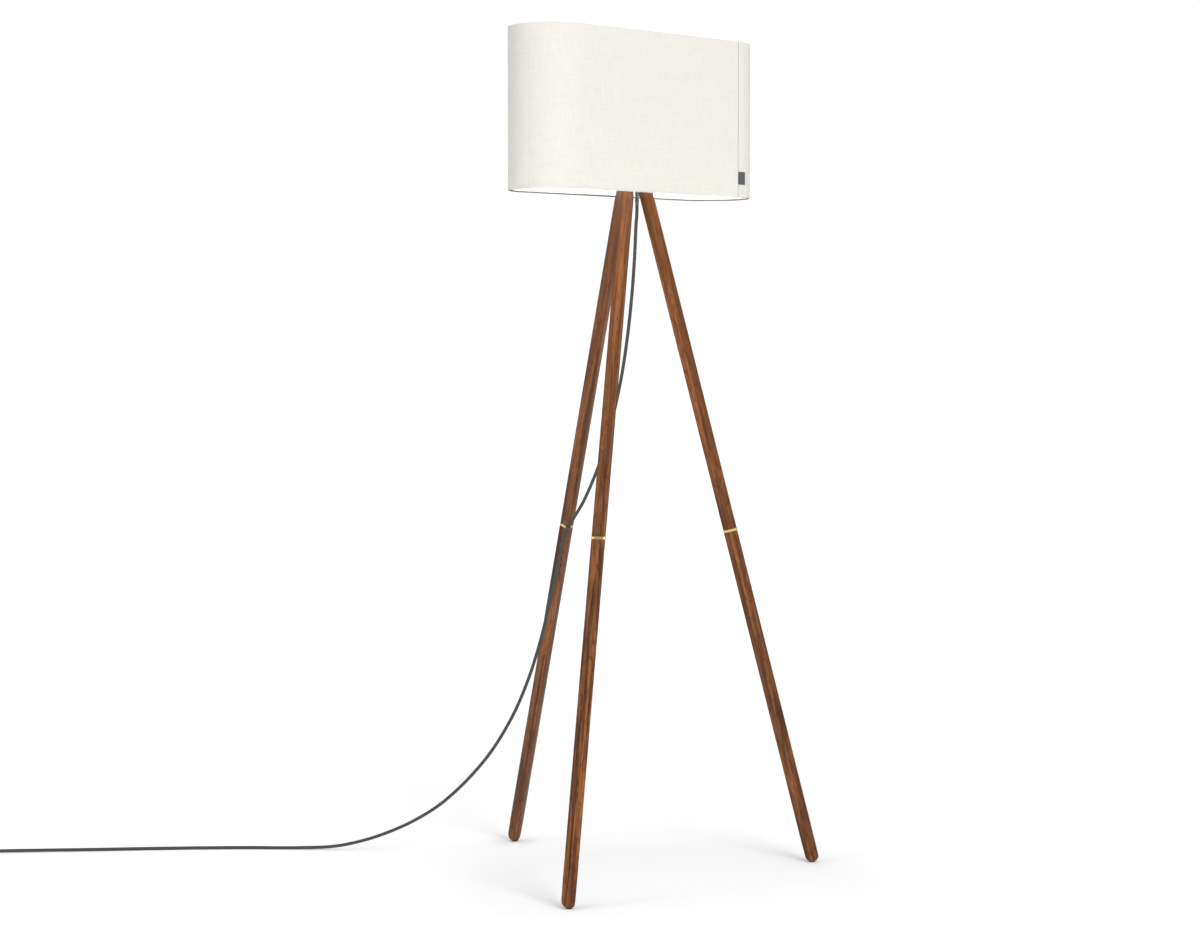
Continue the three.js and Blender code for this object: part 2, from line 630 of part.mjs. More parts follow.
// A two-blade plug. It points along +Y, and its body's back stands at PLUG.back.
function plug() {
  const { width, thick, length, boot, blade, back } = PLUG;
  const shape = new THREE.Shape();
  shape.moveTo(-width / 2 + 6, 0);
  shape.lineTo(width / 2 - 6, 0);
  shape.quadraticCurveTo(width / 2, 0, width / 2, 8);
  shape.lineTo(width / 2, length);
  shape.lineTo(-width / 2, length);
  shape.lineTo(-width / 2, 8);
  shape.quadraticCurveTo(-width / 2, 0, -width / 2 + 6, 0);
  const middle = thick / 2 + GAP;
  const body = extruded(shape, thick, 5).translate(0, 0, GAP);
  const sleeve = turned([[0, -2], [5.8, -2], [4.2, boot], [0, boot]], 16)
    .rotateX(Math.PI / 2).translate(0, 0, middle);
  const blades = [-6.35, 6.35].map((x) => (
    new THREE.BoxGeometry(1.5, blade + 1, 6.3).translate(x, length + blade / 2 - 0.5, middle)));
  return union(body, sleeve, ...blades).translate(TAIL.x, back, 0);
}

// A strap round the coil, across its ring.
function coilTie() {
  const { inner, outer, bottom, top } = COIL;
  const frame = (clear) => {
    const shape = new THREE.Shape();
    shape.moveTo(inner - clear, bottom - clear);
    shape.lineTo(outer + clear, bottom - clear);
    shape.lineTo(outer + clear, top + clear);
    shape.lineTo(inner - clear, top + clear);
    shape.closePath();
    return shape;
  };
  const strap = frame(1.3);
  strap.holes.push(frame(GAP + 0.1));
  return extruded(strap, 8).rotateX(Math.PI / 2).translate(0, 4, 0);
}

function cord() {
  const group = new THREE.Group();
  const { x, y, inner, outer, bottom, top, turn } = COIL;
  const tail = new THREE.LineCurve3(...vectors([
    [TAIL.x, TAIL.from, TAIL.startZ], [TAIL.x, TAIL.to, TAIL.endZ]]));
  const stored = new THREE.Group();
  stored.position.set(x, y, 0);
  stored.rotation.z = THREE.MathUtils.degToRad(turn);
  stored.add(
    piece('cord_coil', ring(inner, outer, bottom, top, 32), CORD_GREY),
    piece('cord_tail', bar(tail, CORD_R, 1, 8), CORD_GREY),
    piece('cord_tie', coilTie(), BLACK_METAL),
    piece('plug', plug(), CORD_GREY),
  );
  group.add(
    piece('cord_tube', routeBar(CORD_R), CORD_GREY),
    piece('cord_clip', cordClip(), CORD_GREY),
    stored,
  );
  return group;
}

// ---------- the lamp ----------
const lamp = new THREE.Group();
lamp.position.set(AXIS_X, AXIS_Y, 0);
lamp.add(...LEGS.map(leg), hub(), lampholder(), harp(), shade(), cord());

export default lamp;
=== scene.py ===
import math

import bmesh
import bpy
from mathutils import Matrix, Vector, noise


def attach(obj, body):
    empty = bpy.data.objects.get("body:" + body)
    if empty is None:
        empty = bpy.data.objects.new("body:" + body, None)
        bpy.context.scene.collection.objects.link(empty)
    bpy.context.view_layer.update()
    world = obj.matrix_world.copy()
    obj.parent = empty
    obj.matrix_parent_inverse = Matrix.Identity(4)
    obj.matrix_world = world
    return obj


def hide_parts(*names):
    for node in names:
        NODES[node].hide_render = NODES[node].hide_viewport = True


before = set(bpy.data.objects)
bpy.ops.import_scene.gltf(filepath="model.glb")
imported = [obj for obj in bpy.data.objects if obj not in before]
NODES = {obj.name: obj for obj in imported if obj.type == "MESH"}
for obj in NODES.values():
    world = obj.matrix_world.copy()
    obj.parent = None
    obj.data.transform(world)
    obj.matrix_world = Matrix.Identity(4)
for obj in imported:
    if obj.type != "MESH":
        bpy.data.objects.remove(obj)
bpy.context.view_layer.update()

# ---------- dimensions, in metres ----------
AXIS = Vector((0.0103, -0.0808, 0))  # the lamp's upright axis
ON_AXIS = Matrix.Translation(AXIS)
APEX_Z = 1.407                       # where the centre lines of the legs meet
LEAN = math.radians(14.5)
LEGS = {"back": (86.8, -33), "left": (206.8, 4), "right": (326.8, 10)}   # azimuth and own turn, degrees
CORNER, CORNER_R, FACE_R = 0.0116, 0.0034, 0.060
LEG_TOP, RING_AT, RING_THICK, RING_PROUD = 0.088, 0.776, 0.0055, 0.0003
LEG_END, FOOT_DOME, GLIDE_TOP = 1.4525, 0.018, 0.0027
GAP = 0.0003
SHADE_HALF, SHADE_R = 0.210, 0.082   # half the oval's straight side, and the radius of its ends
SHADE_LOW, SHADE_HIGH = 1.299, 1.600
CLOTH = 0.0006
RIM_INSET, RIM_AT, RIM_WIRE = 0.0034, 0.0019, 0.0011
HOOP_LOW, HOOP_HIGH = SHADE_LOW + RIM_AT, SHADE_HIGH - RIM_AT
SEAM = 2 * SHADE_HALF - 0.002        # where the cloth's ends overlap, along the oval
WASHER_LOW, WASHER_HIGH = 1.573, 1.575
CORD_R = 0.00325
CORD_ROUTE = [                       # in millimetres, from the axis
    (-0.75, -13, 1281.7), (-0.8, -12.6, 1262), (-0.8, -10.3, 1240), (-0.8, -6.1, 1175),
    (-0.8, 1.9, 1099), (-0.9, 13.8, 1022), (-0.9, 30.4, 946), (-0.9, 54.8, 868),
    (-1, 88, 786), (-1.1, 132, 710), (-1.2, 178, 651.4), (-8, 189.5, 612),
    (-16, 197.5, 562), (-25.4, 208, 497), (-36, 221, 429), (-52, 240.5, 349),
    (-74, 268, 269), (-107, 308, 188), (-157, 369.5, 106), (-197, 418, 64),
    (-235, 465, 36), (-266, 503, 19.5), (-300, 544, 8), (-350, 600, 3.8),
    (-420, 671, 3.6), (-500, 744, 3.6), (-580, 811, 3.6), (-660, 875, 3.8),
    (-735, 935, 4.3), (-790.6, 978.4, 4.65), (-838.3, 1014.9, 4.65),
]
COIL_PLACE = Matrix.Translation(AXIS + Vector((-0.833, 1.0605, 0))) @ Matrix.Rotation(
    math.radians(-37.4), 4, "Z")
COIL_OUT, COIL_IN = 0.0395, 0.033
COIL_LOW, COIL_HIGH = 0.00465, 0.01115
COIL_TURNS = 3.25
PLUG_X, PLUG_BACK, PLUG_MID = -0.03625, 0.0703, 0.0083


def add_object(name, data):
    obj = bpy.data.objects.new(name, data)
    bpy.context.scene.collection.objects.link(obj)
    return obj


def circle(count):
    """The angles of so many even steps round a circle."""
    return [2 * math.pi * k / count for k in range(count)]


# ---------- camera ----------
def make_camera():
    """A camera that looks a little down at the lamp from waist height."""
    place, pitch = (-3.4373, -3.5463, 1.034), math.radians(3.007)
    heading = Vector((0.69622, 0.71782, 0))
    data = bpy.data.cameras.new("camera")
    data.lens, data.sensor_width = 76.5, 36
    data.clip_start, data.clip_end = 0.1, 200
    cam = add_object("camera", data)
    ahead = heading * math.cos(pitch) - Vector((0, 0, math.sin(pitch)))
    cam.location = place
    cam.rotation_mode = "QUATERNION"
    cam.rotation_quaternion = ahead.to_track_quat("-Z", "Y")
    bpy.context.scene.camera = cam


make_camera()


# ---------- shader helpers ----------
class Shader:
    """The node tree of a new material, or of a world, with a short call for each kind of node."""

    def __init__(self, name, world=None):
        self.owner = world or bpy.data.materials.new(name)
        self.owner.use_nodes = True
        self.tree = self.owner.node_tree
        self.tree.nodes.clear()
        self.out = self.node("OutputWorld" if world else "OutputMaterial")
        self.coords = self.node("TexCoord")

    def node(self, kind):
        return self.tree.nodes.new("ShaderNode" + kind)

    def feed(self, socket, value):
        """Link a socket, or set it to a number, a vector or a colour."""
        if isinstance(value, bpy.types.NodeSocket):
            self.tree.links.new(value, socket)
        elif value is not None:
            socket.default_value = (*value, 1) if socket.type == "RGBA" else value

    def ordered(self, kind, *values, **settings):
        """The first output of a new node, with its inputs given in their own order."""
        node = self.node(kind)
        for name, setting in settings.items():
            setattr(node, name, setting)
        for socket, value in zip(node.inputs, values):
            self.feed(socket, value)
        return node.outputs[0]

    def named(self, kind, **values):
        """The first output of a new node, with its inputs given by name."""
        node = self.node(kind)
        for name, value in values.items():
            self.feed(node.inputs[name.replace("_", " ")], value)
        return node.outputs[0]

    def math(self, operation, *values):
        return self.ordered("Math", *values, operation=operation)

    def times(self, a, b):
        return self.math("MULTIPLY", a, b)

    def plus(self, a, b):
        return self.math("ADD", a, b)

    def ridge(self, phase):
        """A rounded ridge for each pi of the phase."""
        return self.math("ABSOLUTE", self.math("SINE", phase))

    def mapped(self, scale, location=(0, 0, 0)):
        return self.named("Mapping", Vector=self.coords.outputs["Object"], Scale=scale,
                          Location=location)

    def noise(self, vector, detail, rough=0.5, distortion=0.0):
        return self.named("TexNoise", Vector=vector, Scale=1.0, Detail=detail, Roughness=rough,
                          Distortion=distortion)

    def axes(self, vector):
        return self.ordered("SeparateXYZ", vector).node.outputs

    def vector(self, x, y, z):
        return self.ordered("CombineXYZ", x, y, z)

    def span(self, value, low, high, to_low=0.0, to_high=1.0):
        return self.ordered("MapRange", value, low, high, to_low, to_high)

    def colours(self, value, stops):
        result = self.ordered("ValToRGB", value)
        ramp = result.node.color_ramp.elements
        while len(ramp) < len(stops):
            ramp.new(1)
        for element, (place, colour) in zip(ramp, stops):
            element.position = place
            element.color = (*colour, 1)
        return result

    def mix(self, factor, a, b):
        node = self.node("Mix")
        node.data_type = "RGBA"
        for socket, value in ((0, factor), (6, a), (7, b)):
            self.feed(node.inputs[socket], value)
        return node.outputs[2]

    def bump(self, height, distance, strength):
        return self.named("Bump", Height=height, Distance=distance, Strength=strength)

    def surface(self, colour, roughness, metallic=0.0, normal=None, translucent=0.0, **more):
        """Finish the material with a principled shader, part of which may let light through."""
        shader = self.named("BsdfPrincipled", Base_Color=colour, Roughness=roughness,
                            Metallic=metallic, Normal=normal, **more)
        if translucent:
            through = self.named("BsdfTranslucent", Color=colour)
            shader = self.ordered("MixShader", translucent, shader, through)
        self.feed(self.out.inputs["Surface"], shader)
        return self.owner


def tinted(colour, factor):
    return tuple(c * factor for c in colour)


# ---------- materials ----------
def wood(name, seed):
    """Walnut with its grain along the object's own Z: broad bands, fine streaks and short pores."""
    brown, figured, painted_top_light, pore = (
        (0.088, 0.032, 0.012), (0.062, 0.023, 0.009), (0.36, 0.122, 0.034), (0.030, 0.012, 0.006))
    s = Shader(name)
    shift = (0.37 * seed, 0.21 * seed, 0.5 * seed)
    bands = s.noise(s.mapped((95, 95, 3.6), shift), detail=4, rough=0.6, distortion=1.3)
    figure = s.noise(s.mapped((85, 85, 24), shift), detail=3, rough=0.62, distortion=2.2)
    fine = s.noise(s.mapped((620, 620, 9), shift), detail=3, rough=0.6)
    pores = s.noise(s.mapped((1500, 1500, 42), shift), detail=2, rough=0.5)
    cloudy = s.noise(s.mapped((14, 14, 3.1), shift), detail=2)
    depth = s.plus(s.times(bands, 0.66), s.times(fine, 0.34))
    colour = s.colours(depth, [
        (0.37, (0.036, 0.013, 0.006)), (0.45, (0.102, 0.037, 0.013)),
        (0.52, (0.192, 0.069, 0.022)), (0.62, (0.330, 0.122, 0.038))])
    colour = s.mix(s.span(cloudy, 0.38, 0.66, 0.0, 0.40), colour, (0.092, 0.034, 0.012))
    colour = s.mix(s.span(figure, 0.53, 0.62, 0.0, 0.62), colour, figured)
    height = s.axes(s.coords.outputs["Object"])[2]
    # Lighter and warmer from about the middle of each leg up: painted light on the upper legs.
    colour = s.mix(s.span(height, -0.75, -0.30, 0.0, 0.14), colour, painted_top_light)
    # Darker again towards the top end, where the legs go up under the shade: painted shade.
    colour = s.mix(s.span(height, -0.30, -0.13, 0.0, 0.45), colour, brown)
    dark = s.span(pores, 0.60, 0.72)
    colour = s.mix(s.times(dark, 0.5), colour, pore)
    relief = s.math("SUBTRACT", s.times(fine, 0.4), s.times(dark, 0.6))
    return s.surface(colour, s.span(fine, 0.3, 0.7, 0.46, 0.34), normal=s.bump(relief, 0.00012, 0.6),
                     Specular_IOR_Level=0.18)


def metal(name, colour, roughness, dull=(0.5, 0.5, 0.5)):
    """Satin metal: fine brush lines, soft cloudy tarnish."""
    s = Shader(name)
    lines = s.noise(s.mapped((900, 900, 60)), detail=3, rough=0.7)
    clouds = s.noise(s.mapped((55, 55, 55)), detail=4, rough=0.6)
    tarnish = tuple(c * d for c, d in zip(colour, dull))
    rough = s.plus(s.span(lines, 0.3, 0.7, roughness - 0.05, roughness + 0.07),
                   s.span(clouds, 0.4, 0.8, 0, 0.08))
    return s.surface(s.mix(s.span(clouds, 0.42, 0.75, 0, 0.15), colour, tarnish), rough, 1.0,
                     s.bump(lines, 0.00004, 0.35))


def painted(name, colour, roughness, grain=2600):
    """Powder coat or enamel: fine orange peel, slight colour shift."""
    s = Shader(name)
    peel = s.noise(s.mapped((grain, grain, grain)), detail=2)
    clouds = s.noise(s.mapped((40, 40, 40)), detail=3)
    shade = s.mix(s.span(clouds, 0.4, 0.7, 0, 0.3), colour, tinted(colour, 1.35))
    return s.surface(shade, s.span(clouds, 0.3, 0.7, roughness - 0.04, roughness + 0.06),
                     normal=s.bump(peel, 0.00006, 0.5))


def plastic(name, colour, roughness, depth=0.00005):
    """Moulded plastic: spark-eroded texture with faint flow marks."""
    s = Shader(name)
    texture = s.noise(s.mapped((1900, 1900, 1900)), detail=3, rough=0.6)
    flow = s.noise(s.mapped((30, 30, 90)), detail=2, distortion=0.6)
    shade = s.mix(s.span(flow, 0.4, 0.7, 0, 0.35), colour, tinted(colour, 0.75))
    return s.surface(shade, s.span(flow, 0.3, 0.7, roughness, roughness + 0.1),
                     normal=s.bump(texture, depth, 0.6))


def weave(name, light, dark, pitch, slub, translucent, depth=0.00022, seam=None):
    """Plain weave from a UV map in metres, with threads of uneven thickness."""
    s = Shader(name)
    u, v, _ = s.axes(s.coords.outputs["UV"])

    def threads(across, along):
        """Ridges that go over and under their neighbours, and each thread's own thickness."""
        phase = s.math("DIVIDE", across, pitch)
        index = s.math("FLOOR", phase)
        ridge = s.ridge(s.times(phase, math.pi))
        under = s.math("SINE", s.times(s.plus(s.math("DIVIDE", along, pitch), index), math.pi))
        lift = s.math("MULTIPLY_ADD", under, 0.5, 0.5)
        uneven = s.noise(s.vector(s.times(index, 7.31), s.times(along, 38), 0), detail=2, rough=0.6)
        return s.times(ridge, lift), uneven

    def streaks(u_scale, v_scale, offset, rough=0.5):
        return s.noise(s.vector(s.times(u, u_scale), s.times(v, v_scale), offset), detail=3,
                       rough=rough)

    warp, warp_uneven = threads(u, v)
    weft, weft_uneven = threads(v, u)
    height = s.math("MAXIMUM", warp, weft)
    slubs = s.math("MAXIMUM", s.span(warp_uneven, 0.60, 0.78), s.span(weft_uneven, 0.56, 0.76))
    # Lighter on the threads' crowns and darker between them, painted shade in the weave's hollows, mixed
    # with each thread's own uneven tone.
    tone = s.plus(s.times(height, 0.62), s.times(s.plus(warp_uneven, weft_uneven), 0.32))
    colour = s.colours(tone, [(0.25, dark), (0.80, light)])
    colour = s.mix(s.times(slubs, slub), colour, tinted(light, 0.90))
    colour = s.mix(s.span(streaks(9, 55, 0), 0.40, 0.66, 0, 0.30), colour, tinted(light, 0.955))
    long_slubs = s.math("MULTIPLY_ADD", streaks(26, 470, 4.7, 0.7), 0.8, streaks(430, 24, 0, 0.7))
    colour = s.mix(s.times(s.span(long_slubs, 0.78, 1.10), slub), colour, tinted(light, 0.87))
    if seam is not None:
        # A thin dark line along the seam: painted shadow of the overlapping cloth's folded edge.
        line = s.span(s.math("ABSOLUTE", s.math("SUBTRACT", u, seam)), 0.0004, 0.0009, 0.85, 0.0)
        colour = s.mix(line, colour, tinted(dark, 0.35))
        # A dark band on the cloth where it rolls round the lower hoop: painted shade on the shade's
        # lower rim.
        edge = s.math("MINIMUM", s.span(v, 0.0030, 0.0038), s.span(v, 0.0078, 0.0088, 1.0, 0.0))
        colour = s.mix(edge, colour, (0.17, 0.14, 0.12))
    relief = s.plus(height, s.times(slubs, 0.8))
    return s.surface(colour, 0.92, normal=s.bump(relief, depth, 0.7), translucent=translucent,
                     Sheen_Weight=0.1, Sheen_Roughness=0.5, Specular_IOR_Level=0.2)


def braid(name, light, dark):
    """A braided textile jacket, from a UV map in metres: two sets of crossing helical strands."""
    strands, pitch, around = 24, 0.0026, 2 * math.pi * CORD_R
    s = Shader(name)
    u, v, _ = s.axes(s.coords.outputs["UV"])
    turn = s.times(s.math("DIVIDE", v, around), strands)
    along = s.math("DIVIDE", u, pitch)
    ridges = []
    for sign in (1, -1):
        phase = s.math("MULTIPLY_ADD", along, 2.0 * sign, turn)
        other = s.math("MULTIPLY_ADD", along, -2.0 * sign, turn)
        over = s.math("SINE", s.math("MULTIPLY_ADD", other, math.pi / 2, 0.8 * sign))
        ridges.append(s.times(s.ridge(s.times(phase, math.pi / 2)),
                              s.math("MULTIPLY_ADD", over, 0.4, 0.6)))
    height = s.math("MAXIMUM", *ridges)
    fleck = s.noise(s.vector(s.times(u, 700), s.times(v, 900), 0), detail=2)
    # Lighter on the strands' crowns and darker between them: painted shade in the braid's hollows, with
    # random flecks.
    colour = s.colours(s.plus(s.times(height, 0.75), s.times(fleck, 0.3)), [(0.25, dark), (0.85, light)])
    return s.surface(colour, 0.8, normal=s.bump(height, 0.0003, 0.8), Sheen_Weight=0.05,
                     Specular_IOR_Level=0.2)


def sheeting(name, colour, translucent):
    """Smooth white styrene sheet, with a faint rolled texture."""
    s = Shader(name)
    roll = s.noise(s.mapped((300, 300, 12)), detail=2)
    haze = s.noise(s.mapped((8, 8, 8)), detail=2)
    shade = s.mix(s.span(haze, 0.4, 0.7, 0, 0.4), colour, tinted(colour, 0.97))
    return s.surface(shade, s.span(roll, 0.3, 0.7, 0.42, 0.52), normal=s.bump(roll, 0.00006, 0.3),
                     translucent=translucent)


def opal(name):
    """Glass with a white coating inside: nearly white, glossy, and it lets light through."""
    s = Shader(name)
    coating = s.noise(s.mapped((90, 90, 90)), detail=3)
    shade = s.mix(s.span(coating, 0.4, 0.7, 0, 0.5), (0.86, 0.855, 0.83), (0.80, 0.795, 0.77))
    return s.surface(shade, s.span(coating, 0.3, 0.7, 0.10, 0.16),
                     normal=s.bump(coating, 0.00002, 0.2), translucent=0.35, Coat_Weight=0.6,
                     Coat_Roughness=0.04)


BRASS = metal("brass_satin", (0.80, 0.60, 0.27), 0.30, dull=(0.72, 0.62, 0.48))
STEEL = metal("steel_plated", (0.60, 0.61, 0.63), 0.32)
ALUMINIUM = metal("aluminium_rolled", (0.74, 0.75, 0.77), 0.28)
BLACK_COAT = painted("powder_coat_black", (0.018, 0.018, 0.019), 0.46)
WHITE_ENAMEL = painted("enamel_white", (0.60, 0.59, 0.57), 0.35, grain=900)
NYLON = plastic("nylon_brown", (0.060, 0.034, 0.022), 0.48)
PHENOLIC = plastic("phenolic_dark", (0.028, 0.022, 0.019), 0.42)
KNOB_GLOSS = plastic("knob_gloss", (0.014, 0.013, 0.013), 0.20, depth=0.00002)
CORD_PLASTIC = plastic("cord_plastic", (0.060, 0.062, 0.056), 0.50)
LINEN = weave("linen", (0.858, 0.835, 0.793), (0.762, 0.739, 0.691), 0.00062, 0.75, 0.16,
              seam=SEAM)
TAG_CLOTH = weave("tag_woven", (0.105, 0.115, 0.125), (0.055, 0.060, 0.068), 0.0004, 0.2, 0.0,
                  depth=0.0001)
STRAP_CLOTH = weave("strap_cloth", (0.035, 0.035, 0.036), (0.012, 0.012, 0.013), 0.0005, 0.3, 0.0)
BRAID = braid("cord_braid", (0.086, 0.090, 0.081), (0.040, 0.042, 0.038))
STYRENE = sheeting("styrene_white", (0.90, 0.90, 0.885), 0.45)
OPAL = opal("opal_glass")


# ---------- mesh helpers ----------
def make_object(name, verts, faces, material, slot, body="stand", replaces=(), place=ON_AXIS,
                uvs=None, sharp=None):
    """A smooth mesh object in its place. uvs is one (u, v) for each corner, in face order, and
    edges sharper than the angle sharp stay sharp."""
    mesh = bpy.data.meshes.new(name)
    mesh.from_pydata([tuple(v) for v in verts], [], faces)
    mesh.update()
    if uvs:
        layer = mesh.uv_layers.new(name="metres")
        for corner, uv in zip(layer.data, uvs):
            corner.uv = uv
    obj = add_object(name, mesh)
    obj.matrix_world = place
    face_outwards(mesh)
    mesh.shade_smooth()
    if sharp:
        mesh.set_sharp_from_angle(angle=math.radians(sharp))
    mesh.materials.append(material)
    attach(obj, body)
    if replaces:
        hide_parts(*replaces)
    return obj


def face_outwards(mesh):
    bm = bmesh.new()
    bm.from_mesh(mesh)
    bmesh.ops.recalc_face_normals(bm, faces=bm.faces)
    bm.to_mesh(mesh)
    bm.free()


def loft(sections, closed_ends=True, closed_loop=False):
    """Quads between rings of the same number of points. Returns verts and faces."""
    count = len(sections[0])
    verts = [p for ring in sections for p in ring]
    faces = []
    rows = len(sections)
    for r in range(rows if closed_loop else rows - 1):
        a, b = r * count, ((r + 1) % rows) * count
        faces += [(a + i, a + (i + 1) % count, b + (i + 1) % count, b + i) for i in range(count)]
    if closed_ends and not closed_loop:
        faces.append(tuple(range(count))[::-1])
        faces.append(tuple((rows - 1) * count + i for i in range(count)))
    return verts, faces


def turned(profile, segments):
    """Verts and faces of a closed lathe about Z. Points on the axis close the ends."""
    verts, faces, rings = [], [], []
    for r, z in profile:
        ring = [(0, 0, z)] if r < 1e-7 else [(r * math.cos(a), r * math.sin(a), z)
                                             for a in circle(segments)]
        rings.append(range(len(verts), len(verts) + len(ring)))
        verts += ring
    pairs = list(zip(rings, rings[1:]))
    if len(rings[0]) > 1:
        pairs.append((rings[-1], rings[0]))
    for a, b in pairs:
        for k in range(segments):
            corners = a[k % len(a)], b[k % len(b)], b[(k + 1) % len(b)], a[(k + 1) % len(a)]
            face = tuple(dict.fromkeys(corners))
            if len(face) > 2:
                faces.append(face)
    return verts, faces


def make_turned(name, profile, material, slot, segments=64, **more):
    verts, faces = turned(profile, segments)
    return make_object(name, verts, faces, material, slot, **more)


def rounded(profile, radius, steps=3, closed=False):
    """The profile with each corner cut back into a small arc."""
    out = []
    count = len(profile)
    for i, p in enumerate(profile):
        if not closed and i in (0, count - 1):
            out.append(p)
            continue
        p = Vector(p)
        a, b = Vector(profile[i - 1]), Vector(profile[(i + 1) % count])
        r = min(radius, 0.45 * (a - p).length, 0.45 * (b - p).length)
        start, end = p + (a - p).normalized() * r, p + (b - p).normalized() * r
        for k in range(steps + 1):
            t = k / steps
            q = start.lerp(p, t).lerp(p.lerp(end, t), t)
            out.append((q.x, q.y))
    return out


def resampled(points, step):
    """The same line with points that are step apart."""
    out, carry = [points[0]], 0.0
    for a, b in zip(points, points[1:]):
        d = (b - a).length
        at = step - carry
        while at <= d:
            out.append(a.lerp(b, at / d))
            at += step
        carry = d - (at - step)
    if (out[-1] - points[-1]).length > 0.3 * step:
        out.append(points[-1])
    else:
        out[-1] = points[-1]
    return out


def between(a, b, start, end, t):
    """The point at t on the straight line through a at start and b at end."""
    return a * ((end - t) / (end - start)) + b * ((t - start) / (end - start))


def centripetal(points, steps=16):
    """A centripetal Catmull-Rom curve through the points."""
    p = [points[0] * 2 - points[1], *points, points[-1] * 2 - points[-2]]
    out = []
    for i in range(1, len(p) - 2):
        a, b, c, d = p[i - 1:i + 3]
        t1 = math.sqrt((b - a).length)
        t2 = t1 + math.sqrt((c - b).length)
        t3 = t2 + math.sqrt((d - c).length)
        for k in range(steps):
            t = t1 + (t2 - t1) * k / steps
            ab, bc, cd = between(a, b, 0, t1, t), between(b, c, t1, t2, t), between(c, d, t2, t3, t)
            out.append(between(between(ab, bc, 0, t2, t), between(bc, cd, t1, t3, t), t1, t2, t))
    out.append(points[-1])
    return out


def tube(path, radius, sides=12, closed=False):
    """Verts, faces and UVs in metres of a round bar along a path, without twist."""
    count = len(path)
    tangents = []
    for i in range(count):
        a = path[i - 1] if closed or i else path[i]
        b = path[(i + 1) % count] if closed or i < count - 1 else path[i]
        tangents.append((b - a).normalized())
    across = tangents[0].orthogonal().normalized()
    rings, lengths, length = [], [], 0.0
    for i, t in enumerate(tangents):
        across = (across - t * across.dot(t)).normalized()
        up = t.cross(across)
        rings.append([path[i] + (across * math.cos(a) + up * math.sin(a)) * radius
                      for a in circle(sides)])
        length += (path[i] - path[i - 1]).length if i else 0.0
        lengths.append(length)
    verts, faces = loft(rings, closed_loop=closed)
    around = 2 * math.pi * radius
    uvs = []
    for face in faces:
        if len(face) != 4:
            uvs += [(0, 0)] * len(face)
            continue
        r, k = divmod(face[0], sides)
        u0 = lengths[r]
        u1 = lengths[r + 1] if r + 1 < count else length + (path[0] - path[-1]).length
        v0, v1 = around * k / sides, around * (k + 1) / sides
        uvs += [(u0, v0), (u0, v1), (u1, v1), (u1, v0)]
    return verts, faces, uvs


def make_bar(name, path, radius, sides, material, slot, closed=False, **more):
    """A round bar along a path."""
    verts, faces, _ = tube(path, radius, sides, closed)
    return make_object(name, verts, faces, material, slot, **more)


def smoothstep(t):
    t = max(0.0, min(1.0, t))
    return t * t * (3 - 2 * t)


# ---------- cord, coil and plug ----------
def coil_point(turns):
    """A place in the coil's own frame, after so many turns from where the cord joins it."""
    angle = math.radians(-90 - 360 * turns)
    inward = smoothstep((turns - 0.7) / 0.3) - smoothstep((turns - 2.15) / 0.3)
    r = COIL_OUT + (COIL_IN - COIL_OUT) * inward
    z = COIL_LOW + (COIL_HIGH - COIL_LOW) * smoothstep((turns - 1.45) / 0.25)
    return Vector((r * math.cos(angle), r * math.sin(angle), z))


def cord_path():
    route = [AXIS + Vector(p) / 1000 for p in CORD_ROUTE]
    line = centripetal(route)
    coil = [Vector((0.0155, -COIL_OUT, COIL_LOW))]
    steps = int(48 * COIL_TURNS)
    coil += [coil_point(COIL_TURNS * k / steps) for k in range(steps + 1)]
    for k in range(1, 10):
        y = 0.006 * k
        x = -COIL_OUT + (PLUG_X + COIL_OUT) * smoothstep(y / 0.034)
        z = COIL_HIGH + (PLUG_MID - COIL_HIGH) * smoothstep((y - 0.012) / 0.036)
        coil.append(Vector((x, y, z)))
    line += [COIL_PLACE @ p for p in coil]
    return resampled(line, 0.003)


def squared(value):
    """A cosine or sine pushed outwards, which makes a circle a rounded rectangle."""
    return math.copysign(abs(value) ** 0.55, value)


def make_plug_body():
    """The moulded body: rounded sections along its length, drawn in at the grip."""
    stations = [(0.0, 0.0055, 0.0050), (0.0012, 0.0074, 0.0062), (0.004, 0.0098, 0.0072),
                (0.009, 0.0116, 0.0077), (0.014, 0.0110, 0.0076), (0.019, 0.0111, 0.0076),
                (0.024, 0.0119, 0.0078), (0.029, 0.0122, 0.0079), (0.0322, 0.0121, 0.0078),
                (0.033, 0.0115, 0.0072)]
    verts, faces = loft([
        [Vector((PLUG_X + half * squared(math.cos(a)), PLUG_BACK + y,
                 PLUG_MID + thick * squared(math.sin(a)))) for a in circle(40)]
        for y, half, thick in stations])
    return make_object("plug_body", verts, faces, CORD_PLASTIC, "cord_plastic", replaces=["plug"],
                       place=COIL_PLACE, sharp=50)


def make_plug_boot():
    """The plug's own strain relief: a taper with ribs."""
    length, ribs, groove = 0.0245, 6, 0.0006
    profile = [(0, 0)]
    for i in range(ribs):
        y = length * i / ribs
        r = 0.0042 + 0.0014 * i / ribs
        profile += [(r, y + 0.0002), (r + 0.0002, y + 0.0018), (r - groove, y + 0.0024),
                    (r - groove, y + 0.0036)]
    profile += [(0.0056, length), (0, length)]
    place = COIL_PLACE @ Matrix.Translation((PLUG_X, PLUG_BACK - 0.022, PLUG_MID)) @ Matrix.Rotation(
        math.radians(-90), 4, "X")
    return make_turned("plug_boot", profile, CORD_PLASTIC, "cord_plastic", 32, place=place, sharp=50)


